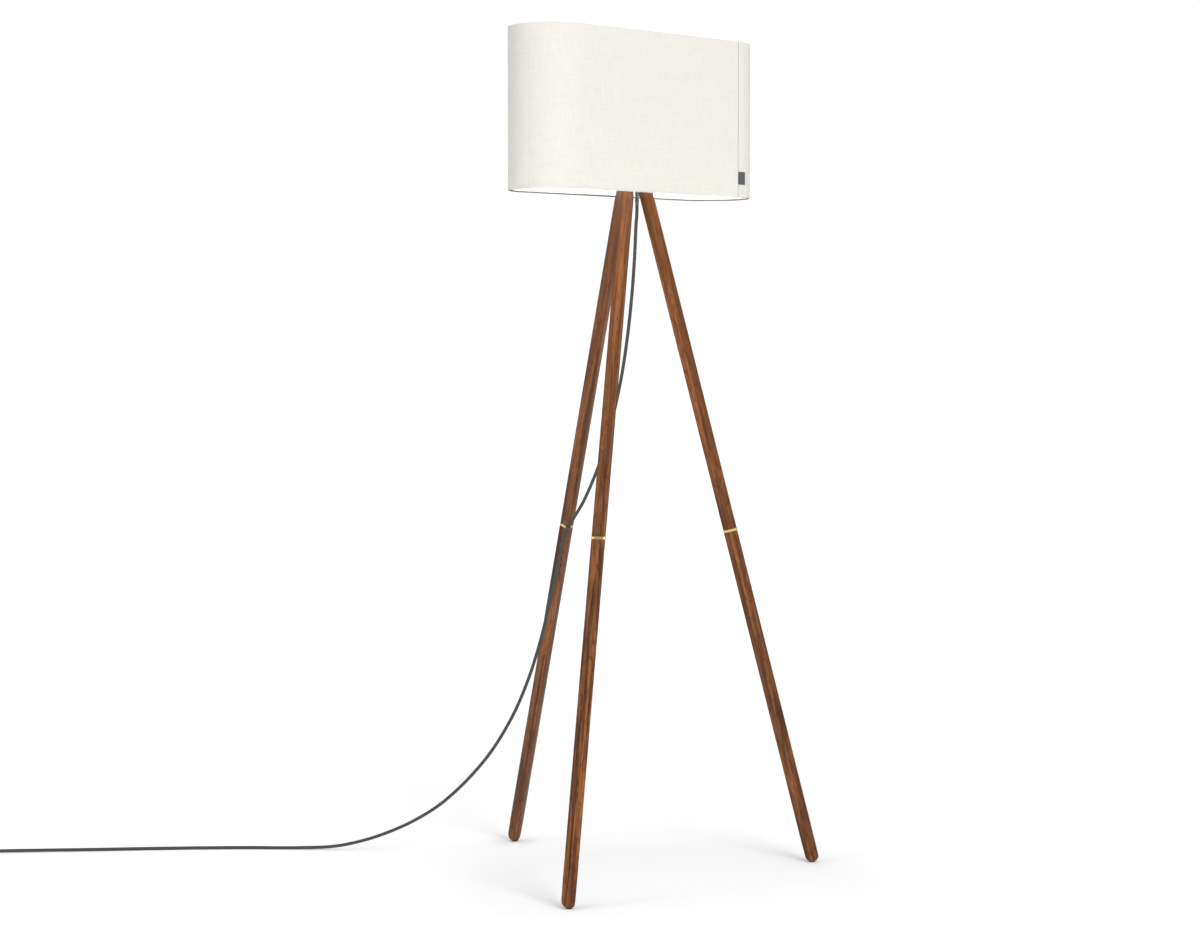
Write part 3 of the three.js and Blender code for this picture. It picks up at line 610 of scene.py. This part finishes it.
def make_blade(name, x):
    """A flat contact blade with a rounded tip and a through hole."""
    half, thick, shoulder, tip, cut = 0.00315, 0.00075, 0.0148, 0.0168, 0.0016
    hole_r, hole_at = 0.0014, 0.0118
    outline = [(-half, 0), (half, 0), (half, shoulder), (half - cut, tip), (-half + cut, tip),
               (-half, shoulder)]
    hole = [(hole_r * math.cos(a), hole_at + hole_r * math.sin(a)) for a in circle(16)]
    bm = bmesh.new()
    rims = []
    for side in (-thick, thick):
        outer = [bm.verts.new((side, y, z)) for z, y in outline]
        inner = [bm.verts.new((side, y, z)) for z, y in hole]
        edges = [bm.edges.new((ring[k], ring[(k + 1) % len(ring)])) for ring in (outer, inner)
                 for k in range(len(ring))]
        bmesh.ops.triangle_fill(bm, edges=edges, use_beauty=True)
        rims.append((outer, inner))
    for low, high in zip(*rims):
        for k in range(len(low)):
            n = (k + 1) % len(low)
            bm.faces.new((low[k], low[n], high[n], high[k]))
    bm.verts.index_update()
    verts = [v.co.copy() for v in bm.verts]
    faces = [tuple(v.index for v in face.verts) for face in bm.faces]
    bm.free()
    place = COIL_PLACE @ Matrix.Translation((PLUG_X + x, PLUG_BACK + 0.033, PLUG_MID))
    return make_object(name, verts, faces, STEEL, "steel", place=place, sharp=30)


def make_tie():
    """A hook-and-loop strap in a closed loop round the coil's turns."""
    near, far, low, high, corner = 0.0294, 0.0431, 0.0012, 0.0145, 0.0035
    thick, half, chamfer = 0.0008, 0.0040, 0.0001
    loop = rounded([(near, low), (far, low), (far, high), (near, high)], corner, 6, closed=True)
    centre = Vector(((near + far) / 2, (low + high) / 2))
    sections = []
    for p in map(Vector, loop):
        out = (p - centre).normalized() * thick
        sections.append([Vector((q.x, y, q.y)) for q, y in (
            (p, -half), (p, half), (p + out, half - chamfer), (p + out, -half + chamfer))])
    verts, faces = loft(sections, closed_loop=True)
    uvs = []
    for face in faces:
        uvs += [(0.0021 * (i % 4) + 0.001 * (i // 4), 0.0025 * (i % 4)) for i in face]
    return make_object("cord_strap", verts, faces, STRAP_CLOTH, "tie", replaces=["cord_tie"],
                       place=COIL_PLACE, uvs=uvs, sharp=40)


def make_strain_relief():
    """The nut in the hub and the ribbed sleeve that tapers down to the cord."""
    top, nut_low, neck_low, first, bottom = 1.3456, 1.3433, 1.3297, 1.325, 1.282
    nut, neck, sleeve, ribs = 0.007, 0.0046, 0.0048, 9
    profile = [(0, top), (nut, top), (nut, nut_low), (neck, nut_low), (neck, neck_low),
               (sleeve, neck_low - 0.0003), (sleeve, first)]
    pitch = (first - bottom) / ribs
    for i in range(ribs):
        z = first - pitch * i
        crest = sleeve - 0.0009 * i / ribs
        root = crest - 0.0007
        profile += [(root, z - 0.18 * pitch), (root, z - 0.38 * pitch), (crest, z - 0.56 * pitch),
                    (crest - 0.0001, z - 0.97 * pitch)]
    profile.append((0, bottom))
    make_turned("strain_relief_sleeve", profile, CORD_PLASTIC, "cord_plastic", 32,
                replaces=["strain_relief"],
                place=Matrix.Translation(AXIS + Vector((-0.00075, -0.013, 0))), sharp=50)


CORD_LINE = cord_path()
cord_verts, cord_faces, cord_uvs = tube(CORD_LINE, CORD_R)
mains_cord = make_object("mains_cord", cord_verts, cord_faces, BRAID, "cord_jacket",
                         replaces=["cord_tube", "cord_coil", "cord_tail"], place=Matrix(),
                         uvs=cord_uvs)
cord_pieces = [make_plug_body(), make_plug_boot(), make_blade("plug_blade_1", -0.00635),
               make_blade("plug_blade_2", 0.00635), make_tie()]
make_strain_relief()


# ---------- legs ----------
def leg_section(grow=0.0):
    """(x, y) round a rounded triangle with crowned faces."""
    corner_r, face_r = CORNER_R + grow, FACE_R + grow
    face = math.sqrt((face_r - corner_r) ** 2 - 0.75 * CORNER ** 2) - 0.5 * CORNER
    half = math.atan2(CORNER * math.sqrt(0.75), face + 0.5 * CORNER)
    points = []

    def arc(towards, distance, r, start, sweep, steps):
        """Points round a centre that lies at a distance from the middle."""
        for k in steps:
            a = start + sweep * k
            points.append((distance * math.cos(towards) + r * math.cos(a),
                           distance * math.sin(towards) + r * math.sin(a)))

    for normal in circle(3):
        arc(normal, -face, face_r, normal - half, half / 4, range(9))
        arc(normal + math.pi / 3, CORNER, corner_r, normal + half, (2 * math.pi / 3 - 2 * half) / 7,
            range(1, 7))
    return points


def leg_place(name):
    azimuth, turn = LEGS[name]
    return (Matrix.Translation(AXIS + Vector((0, 0, APEX_Z)))
            @ Matrix.Rotation(math.radians(azimuth), 4, "Z") @ Matrix.Rotation(-LEAN, 4, "Y")
            @ Matrix.Rotation(math.radians(turn), 4, "Z"))


def bar_rings(start, end, grow=0.0, edge=0.0006, spacing=0.03):
    """Sections from start to end along a leg, with softened end edges."""
    reach = 0.0125                   # about half the section's width
    section = leg_section(grow)
    stops = [(start, edge), (start + 0.3 * edge, 0.35 * edge), (start + edge, 0)]
    count = max(1, round((end - start) / spacing))
    stops += [(start + edge + (end - start - 2 * edge) * k / count, 0) for k in range(1, count)]
    stops += [(end - edge, 0), (end - 0.3 * edge, 0.35 * edge), (end, edge)]
    rings = []
    for at, inset in stops:
        shrink = 1 - inset / reach
        rings.append([Vector((x * shrink, y * shrink, -at)) for x, y in section])
    return rings


def foot_rings():
    """Sections of a leg's domed end: the leg's own section, drawn in to the dome's circle."""
    lead, steps, power, least = 0.006, 22, 14, 1e-5
    radius = CORNER + CORNER_R + 0.0004
    rings = []
    for k in range(1, steps + 1):
        along = LEG_END - FOOT_DOME - lead + (FOOT_DOME + lead) * math.sin(k / steps * math.pi / 2)
        up = max(0.0, min(1.0, (LEG_END - along) / FOOT_DOME))
        dome = max(least, radius * math.sqrt(max(0.0, 1 - (1 - up) ** 2)))
        ring = []
        for x, y in leg_section():
            r = math.hypot(x, y)
            soft = (r ** -power + dome ** -power) ** (-1 / power)
            ring.append(Vector((x * soft / r, y * soft / r, -along)))
        rings.append(ring)
    return rings


def make_leg(name, index):
    """The upper and lower wood of one leg, and the brass ring between them."""
    place = leg_place(name)
    inverse = place.inverted()

    def part(label, rings, material, slot, node):
        verts, faces = loft(rings)
        make_object(f"leg_{name}_{label}", verts, faces, material, slot, replaces=[f"{node}_{name}"],
                    place=place, sharp=60)

    gap = RING_THICK / 2 + GAP
    part("upper_wood", bar_rings(LEG_TOP, RING_AT - gap), wood(f"walnut_{name}_upper", index),
         "walnut", "upper_leg")
    part("ring", bar_rings(RING_AT - RING_THICK / 2, RING_AT + RING_THICK / 2, RING_PROUD,
                           edge=0.0004, spacing=0.002), BRASS, "brass", "brass_ring")
    rings = bar_rings(RING_AT + gap, LEG_END - FOOT_DOME)[:-3] + foot_rings()
    for ring in rings:
        for i, p in enumerate(ring):
            q = place @ p
            if q.z < GLIDE_TOP:
                q.z = GLIDE_TOP
                ring[i] = inverse @ q
    part("lower_wood", rings, wood(f"walnut_{name}_lower", index + 3), "walnut", "lower_leg")


for leg_index, leg_name in enumerate(LEGS):
    make_leg(leg_name, leg_index)


# ---------- shade ----------
STRAIGHT, CURVE = 28, 44             # steps along the cover's straight sides and round its ends
LAP_LIFT, RIPPLE = 0.00045, 0.00030


def oval(inset, straight=STRAIGHT, curve=CURVE):
    """Points round the shade's oval, from the start of its straight side towards -Y."""
    r = SHADE_R - inset
    points = []
    for side in (1, -1):
        for k in range(straight):
            points.append((side * SHADE_HALF * (2 * k / straight - 1), -side * r))
        for k in range(curve):
            a = math.pi * k / curve - side * math.pi / 2
            points.append((side * SHADE_HALF + r * math.cos(a), r * math.sin(a)))
    return [Vector((x, y)) for x, y in points]


def oval_length(index):
    """The length along the outer oval at a point's index."""
    side = 2 * SHADE_HALF
    bow = math.pi * SHADE_R
    turns, rest = divmod(index, STRAIGHT + CURVE)
    along = side * rest / STRAIGHT if rest <= STRAIGHT else side + bow * (rest - STRAIGHT) / CURVE
    return turns * (side + bow) + along


def lap(length):
    """How far the fabric's overlapping end lifts it, by the length along the oval."""
    back = SEAM - length
    return LAP_LIFT * (1 - smoothstep((back - 0.004) / 0.012)) if back >= -1e-6 else 0.0


def cover_profile():
    """(inset, z, length along the cloth) of the cloth's outer side: from where it is tucked in
    above the lower hoop, round that hoop, up the outside and round the upper hoop."""
    reach = RIM_WIRE + CLOTH + 0.0002
    half = (RIM_INSET + reach) / 2

    def roll(hoop_z, sign):
        points = [(0.0029, hoop_z - sign * (reach + 0.0004)),
                  (RIM_INSET, hoop_z - sign * (reach + 0.0001)),
                  (RIM_INSET + 0.7 * reach, hoop_z - sign * 0.75 * reach)]
        for k in range(11):
            a = math.pi * k / 10
            points.append((half + half * math.cos(a), hoop_z + sign * RIM_AT * math.sin(a) ** 0.8))
        return points

    rise = 20
    face = [(0.0, HOOP_LOW + (HOOP_HIGH - HOOP_LOW) * k / rise) for k in range(1, rise)]
    out, length, last = [], 0.0, None
    for inset, z in roll(HOOP_LOW, -1) + face + roll(HOOP_HIGH, 1)[::-1]:
        if last:
            length += math.hypot(inset - last[0], z - last[1])
        out.append((inset, z, length))
        last = (inset, z)
    return out


def make_cover():
    """One closed sheet of linen, rolled over the upper and lower hoops."""
    profile = cover_profile()
    base = oval(0)
    count = len(base)
    normals = [Vector((p.x - max(-SHADE_HALF, min(SHADE_HALF, p.x)), p.y)).normalized() for p in base]
    outer, inner = [], []
    for i, (inset, z, _) in enumerate(profile):
        a, b = profile[max(i - 1, 0)], profile[min(i + 1, len(profile) - 1)]
        along = Vector((b[0] - a[0], b[1] - a[1])).normalized()
        inner_inset, inner_z = inset + along.y * CLOTH, z - along.x * CLOTH
        on_face = smoothstep((CLOTH - inset) / CLOTH)
        row, back = [], []
        for k, (p, n) in enumerate(zip(base, normals)):
            length = oval_length(k)
            ripple = RIPPLE * (noise.noise(Vector((length * 9, z * 11, 0.3))) - 1) * on_face
            at = p - n * (inset - lap(length) * on_face - ripple)
            row.append(Vector((*at, z)))
            back.append(Vector((*(p - n * (inner_inset - ripple)), inner_z)))
        outer.append(row)
        inner.append(back)
    verts, faces = loft(outer + inner[::-1], closed_loop=True)
    lengths = [row[2] for row in profile]
    lengths += lengths[::-1]
    uvs = []
    for face in faces:
        r, k = divmod(face[0], count)
        u0, u1 = oval_length(k), oval_length(k + 1)
        v0, v1 = lengths[r], lengths[(r + 1) % len(lengths)]
        uvs += [(u0, v0), (u1, v0), (u1, v1), (u0, v1)]
    cover = make_object("linen_cover", verts, faces, LINEN, "linen", body="shade",
                        replaces=["shade_cover"], uvs=uvs, sharp=70)


def make_hoop(name, z, node):
    path = [Vector((p.x, p.y, z)) for p in oval(RIM_INSET, 6, 40)]
    make_bar(name, path, RIM_WIRE, 12, WHITE_ENAMEL, "white_metal", closed=True, body="shade",
             replaces=[node])


def make_top_frame():
    """The upper hoop, its four arms, and the washer that the finial clamps."""
    make_hoop("wire_hoop_high", HOOP_HIGH, "shade_top_frame")
    reach = SHADE_R - RIM_INSET
    for number, (sx, sy) in enumerate(((1, 1), (1, -1), (-1, 1), (-1, -1)), 1):
        points = [Vector(p) for p in (
            (sx * 0.0070, sy * 0.008, 1.574), (sx * 0.016, sy * 0.022, 1.576),
            (sx * 0.034, sy * 0.052, HOOP_HIGH - 0.007), (sx * 0.048, sy * reach, HOOP_HIGH))]
        path = resampled(centripetal(points, 14), 0.003)
        make_bar(f"frame_arm_{number}", path, 0.0016, 12, WHITE_ENAMEL, "white_metal", body="shade",
                 sharp=60)
    bore, radius = 0.0030, 0.012
    profile = rounded([(bore, WASHER_LOW), (radius, WASHER_LOW), (radius, WASHER_HIGH),
                       (bore, WASHER_HIGH)], 0.0004, closed=True)
    make_turned("frame_washer", profile, WHITE_ENAMEL, "white_metal", 48, body="shade", sharp=60)


def make_tag():
    """A small blank woven label that follows the shade's curve and stands off at its outer edge."""
    start, width, height, low, steps = -0.0019, 0.0201, 0.0245, 1.324, 14
    centre = Vector((SHADE_HALF, 0, 0))
    rings = []
    for k in range(steps + 1):
        t = k / steps
        a = -math.pi / 2 + (start + width * t) / SHADE_R
        lift = 0.0004 + 0.0007 * t ** 2
        thick = 0.0005 * math.sqrt(max(0.0, 1 - (2 * t - 1) ** 12)) + 0.00005
        out = Vector((math.cos(a), math.sin(a), 0))
        section = [(lift, low), (lift + thick, low), (lift + thick, low + height), (lift, low + height)]
        rings.append([centre + out * (SHADE_R + r) + Vector((0, 0, z))
                      for r, z in rounded(section, 0.0003, 2, closed=True)])
    verts, faces = loft(rings)
    uvs = [(SHADE_R * math.atan2(verts[i].y, verts[i].x - SHADE_HALF), verts[i].z)
           for face in faces for i in face]
    make_object("blank_label", verts, faces, TAG_CLOTH, "tag", body="shade", replaces=["shade_tag"],
                uvs=uvs, sharp=60)


make_cover()
make_hoop("wire_hoop_low", HOOP_LOW, "shade_bottom_hoop")
make_top_frame()
make_tag()


# ---------- lampholder, bulb, harp and finial ----------
def make_lampholder():
    """The brass cap, and the shell with its groove and three beads."""
    bore, z, r, wall, height = 0.0068, 1.398, 0.017, 0.0012, 0.017
    top = z + height
    cap = [(bore, z), (0.011, z), (0.0148, z + 0.0018), (0.0166, z + 0.0048), (r, z + 0.008),
           (r, top - 0.002), (r, top - 0.0004), (r - 0.0004, top), (r - wall, top),
           (r - wall, z + 0.0066), (0.0106, z + 0.0014), (bore, z + 0.0014)]
    make_turned("holder_cap_brass", rounded(cap, 0.0006, 3, closed=True), BRASS, "brass",
                replaces=["holder_cap"], sharp=45)
    bottom, high, shell_bore, groove = top + GAP, 1.454, 0.0139, r - 0.0007
    shell = [(shell_bore, bottom), (shell_bore, high), (r, high), (r, high - 0.0058),
             (groove, high - 0.0072), (groove, high - 0.0118), (r, high - 0.0132)]
    for i in range(3):
        z0 = high - 0.0165 - 0.0028 * i
        shell += [(r, z0), (r - 0.0005, z0 - 0.0008), (r, z0 - 0.0016)]
    shell.append((r, bottom))
    make_turned("holder_shell_brass", rounded(shell, 0.0003, 2, closed=True), BRASS, "brass",
                replaces=["holder_shell"], sharp=45)


def make_knob():
    """A ribbed rotary switch knob on its shaft."""
    stations = [(0.0, 0.0019), (0.0084, 0.0019), (0.0085, 0.0040), (0.0092, 0.0050),
                (0.0100, 0.0054), (0.0130, 0.0053), (0.0175, 0.0050), (0.0192, 0.0048),
                (0.0202, 0.0042), (0.0205, 0.0033)]
    ribs, rib_depth = 16, 0.045
    rings = []
    for at, radius in stations:
        ribbed = rib_depth if 0.0095 < at < 0.0195 else 0
        rings.append([])
        for a in circle(96):
            r = radius * (1 - ribbed * (0.5 - 0.5 * math.cos(ribs * a)))
            rings[-1].append(Vector((r * math.cos(a), r * math.sin(a), at)))
    verts, faces = loft(rings)
    place = Matrix.Translation(AXIS + Vector((0, -0.0116, 1.407))) @ Matrix.Rotation(
        math.radians(90), 4, "X")
    make_object("rotary_knob", verts, faces, KNOB_GLOSS, "knob", body="knob",
                replaces=["switch_knob"], place=place, sharp=40)


def make_bulb():
    """The threaded cap, and the globe: a neck that swells into a sphere, and its inner side."""
    base, high, threads, pitch = 1.420, 1.447, 5, 0.0035
    profile = [(0, base), (0.003, base), (0.0042, base + 0.0008), (0.006, base + 0.002),
               (0.0115, base + 0.0046), (0.0122, base + 0.0056)]
    for i in range(threads):
        z = base + 0.0058 + pitch * i
        profile += [(0.0123, z), (0.0129, z + 0.0009), (0.0131, z + 0.00175), (0.0129, z + 0.0026)]
    profile += [(0.0123, high - 0.0035), (0.0129, high - 0.0022), (0.0130, high), (0, high)]
    make_turned("bulb_cap_threaded", profile, ALUMINIUM, "bulb_base", replaces=["bulb_base"],
                sharp=45)
    neck, radius, top, glass = high + GAP, 0.030, 1.532, 0.0012
    centre = top - radius
    line = [(0.0131, neck), (0.0132, neck + 0.0035), (0.0137, neck + 0.008), (0.0151, neck + 0.0145),
            (0.0175, neck + 0.021), (0.0212, neck + 0.0282), (0.0252, neck + 0.035)]
    steps, start = 22, -0.42
    for i in range(1, steps + 1):
        a = start + (math.pi / 2 - start) * i / steps
        line.append((radius * math.cos(a) if i < steps else 0, centre + radius * math.sin(a)))
    inner = [(max(0.0, r - glass), z if z <= centre else z - glass) for r, z in line]
    make_turned("bulb_globe", line + inner[::-1], OPAL, "bulb_glass", replaces=["bulb_glass"],
                sharp=60)


def make_harp():
    """The bent wire with its ferrules, the seat under the shade and the threaded pin."""
    foot, half, top, wire = 1.4077, 0.056, 1.570, 0.0017
    side = [(0.027, foot - 0.006), (0.029, foot + 0.010), (half - 0.012, foot + 0.042),
            (half, foot + 0.082), (half - 0.003, foot + 0.118), (half - 0.018, foot + 0.146),
            (half - 0.038, top - 0.005)]
    points = [Vector((x, 0, z)) for x, z in side] + [Vector((0, 0, top - wire))]
    points += [Vector((-x, 0, z)) for x, z in reversed(side)]
    make_bar("harp_wire", resampled(centripetal(points), 0.003), wire, 16, BRASS, "brass",
             replaces=["harp_frame"], sharp=60)
    seat_r, seat_top, pin_r, turns, pitch = 0.006, WASHER_LOW - GAP, 0.0026, 10, 0.0011
    seat = rounded([(0, top - 0.004), (seat_r, top - 0.004), (seat_r, seat_top), (pin_r, seat_top)],
                   0.0004)
    for i in range(turns):
        z = 1.5736 + pitch * i
        seat += [(pin_r, z), (0.00225, z + 0.5 * pitch)]
    seat += [(pin_r, 1.5848), (0, 1.585)]
    make_turned("harp_seat_pin", seat, BRASS, "brass", 40, sharp=60)
    for number, sign in ((1, 1), (2, -1)):
        a, b = Vector((sign * 0.0268, 0, foot - 0.0070)), Vector((sign * 0.0283, 0, foot + 0.006))
        make_bar(f"harp_ferrule_{number}", [a, a.lerp(b, 0.1), a.lerp(b, 0.9), b], 0.0027, 20, BRASS,
                 "brass", sharp=50)


def make_finial():
    """The turned finial that holds the shade down on the harp's pin."""
    z, bore, bore_top = WASHER_HIGH + GAP, 0.0029, 1.586
    profile = [(bore, z), (0.0068, z), (0.0070, z + 0.0004), (0.0070, z + 0.0022),
               (0.0064, z + 0.0029), (0.0048, z + 0.0042), (0.0045, z + 0.0052),
               (0.0050, z + 0.0062), (0.0064, z + 0.0078), (0.0071, z + 0.0098),
               (0.0070, z + 0.0122), (0.0060, z + 0.0148), (0.0044, z + 0.0170),
               (0.0024, z + 0.0183), (0, 1.594), (0, bore_top), (bore, bore_top), (bore, z)]
    make_turned("finial_brass", profile, BRASS, "brass", replaces=["finial"], sharp=50)


make_lampholder()
make_knob()
make_bulb()
make_harp()
make_finial()


# ---------- the CAD nodes that stay ----------
def finish_node(name, material, bevel=0.0003):
    """A new material, and modifiers that soften the edges. The node's own mesh stays as it is."""
    node = NODES[name]
    node.data.materials.clear()
    node.data.materials.append(material)
    node.data.shade_smooth()
    weld = node.modifiers.new("weld", "WELD")
    weld.merge_threshold = 0.00001
    edge = node.modifiers.new("edge", "BEVEL")
    edge.width, edge.segments, edge.limit_method = bevel, 2, "ANGLE"
    edge.angle_limit = math.radians(40)
    edge.harden_normals = True


KEPT = {
    BLACK_COAT: ["hub_body", "hub_cover"],
    STEEL: ["cover_screw_1", "cover_screw_2", "cover_screw_3", "stem_lock_nut",
            *(f"{stud}_{leg}" for leg in LEGS for stud in ("join_stud", "hub_stud"))],
    BRASS: ["stem_tube", "stem_collar", "saddle_nut", "harp_saddle"],
    PHENOLIC: ["switch_block"],
    NYLON: [f"foot_glide_{leg}" for leg in LEGS],
    CORD_PLASTIC: ["cord_clip"],
    STYRENE: ["shade_liner"],
}
for material, names in KEPT.items():
    for node_name in names:
        finish_node(node_name, material, 0.0001 if node_name == "shade_liner" else 0.0003)


# ---------- floor, light and picture ----------
AMBIENT = (0.64, 0.92)               # the room's light from behind and from the camera's side
MIRRORED = 0.32                      # how bright the room is in reflections
NEAR_GLOW, FAR_GLOW = 0.15, 0.28     # what the floor adds, around the lamp and again far away
SHADOW, SHADOW_AT = 0.10, Vector((-0.07, -0.194, 0))   # how much less glow in the lamp's soft shadow, a painted shadow on the floor
ROOM_WHITE = 1.05                    # how bright the room is to the camera
BRIGHT_SIDE = (-0.66, -0.68, 0.32)   # where the room's light is strongest


def make_floor():
    """A white floor that lights the lamp as white paper does and meets the backdrop unseen."""
    s = Shader("studio_floor")
    soft = s.noise(s.mapped((3, 3, 3)), detail=1)
    paper = s.mix(s.span(soft, 0.3, 0.7, 0, 1), (0.90, 0.90, 0.90), (0.905, 0.905, 0.905))
    s.surface(paper, 0.9, Specular_IOR_Level=0.0)
    paper_shader = s.out.inputs["Surface"].links[0].from_socket
    x, y, _ = s.axes(s.coords.outputs["Object"])

    def away(place):
        """Distance over the floor from a point."""
        dx, dy = s.math("SUBTRACT", x, place.x), s.math("SUBTRACT", y, place.y)
        return s.math("SQRT", s.plus(s.times(dx, dx), s.times(dy, dy)))

    feet = [away(AXIS + math.sin(LEAN) * LEG_END * Vector((math.cos(a), math.sin(a), 0)))
            for a in (math.radians(leg[0]) for leg in LEGS.values())]
    foot = s.math("MINIMUM", feet[0], s.math("MINIMUM", feet[1], feet[2]))
    shadow = away(AXIS + SHADOW_AT)
    # Less glow close to each foot and in front of the lamp: painted contact shadows and a painted soft
    # shadow.
    near = s.math("MINIMUM", s.span(foot, 0.012, 0.075, 0.04, NEAR_GLOW),
                  s.span(shadow, 0.36, 0.62, NEAR_GLOW - SHADOW, NEAR_GLOW))
    far = s.span(away(AXIS), 0.7, 5.0, 0.0, FAR_GLOW)
    glow = s.ordered("Emission", None, s.plus(near, far))
    seen = s.ordered("MixShader", s.node("LightPath").outputs["Is Camera Ray"], None, glow)
    s.feed(s.out.inputs["Surface"], s.ordered("AddShader", paper_shader, seen))
    mesh = bpy.data.meshes.new("studio_floor")
    size = 60
    mesh.from_pydata([(-size, -size, 0), (size, -size, 0), (size, size, 0), (-size, size, 0)], [],
                     [(0, 1, 2, 3)])
    mesh.materials.append(s.owner)
    add_object("studio_floor", mesh)


def make_world():
    """A white room: pure white to the camera, and darker as a light and in reflections."""
    world = bpy.data.worlds.new("studio")
    bpy.context.scene.world = world
    s = Shader("studio", world)
    path = s.node("LightPath")
    facing = s.ordered("VectorMath", s.coords.outputs["Generated"], BRIGHT_SIDE,
                       operation="DOT_PRODUCT").node.outputs["Value"]
    light = s.span(facing, -0.1, 0.9, *AMBIENT)
    shader = None
    for strength, ray in ((light, None), (MIRRORED, "Is Glossy Ray"), (ROOM_WHITE, "Is Camera Ray")):
        room = s.ordered("Background", (1, 1, 1), strength)
        shader = s.ordered("MixShader", path.outputs[ray], shader, room) if ray else room
    s.feed(s.out.inputs[0], shader)


def make_area(name, place, target, size, watts, seen=True, only=(), shape="RECTANGLE"):
    """A light the camera never sees; it lights only the objects named, if any are."""
    data = bpy.data.lights.new(name, "AREA")
    data.shape, data.size, data.size_y, data.energy = shape, *size, watts
    lamp = add_object(name, data)
    lamp.visible_camera, lamp.visible_glossy = False, seen
    lamp.location = place
    lamp.rotation_mode = "QUATERNION"
    lamp.rotation_quaternion = (Vector(target) - Vector(place)).to_track_quat("-Z", "Y")
    if only:
        lit = bpy.data.collections.new(name + "_receivers")
        for receiver in only:
            lit.objects.link(bpy.data.objects[receiver])
        lamp.light_linking.receiver_collection = lit
    return lamp


make_floor()
make_world()
make_area("key", (-1.2, -4.2, 3.0), (0, 0, 0.9), (2.2, 2.2), 115)
make_area("side", (-3.4, 0.9, 1.5), (0, 0, 0.8), (0.9, 2.6), 20)
make_area("inside_bounce", AXIS + Vector((0, 0, 1.286)), AXIS + Vector((0, 0, 2)), (0.56, 0.15), 3.0,
          seen=False, only=["shade_liner"], shape="ELLIPSE")
edge_strip = make_area("edge_strip", (-1.9, 3.6, 1.1), (0, 0, 0.9), (0.5, 2.4), 7)
edge_strip.visible_diffuse = False

scene = bpy.context.scene
scene.view_settings.view_transform = "Standard"
scene.render.film_transparent = False
scene.cycles.use_denoising = True
scene.cycles.max_bounces = 10
scene.cycles.transmission_bounces = 6
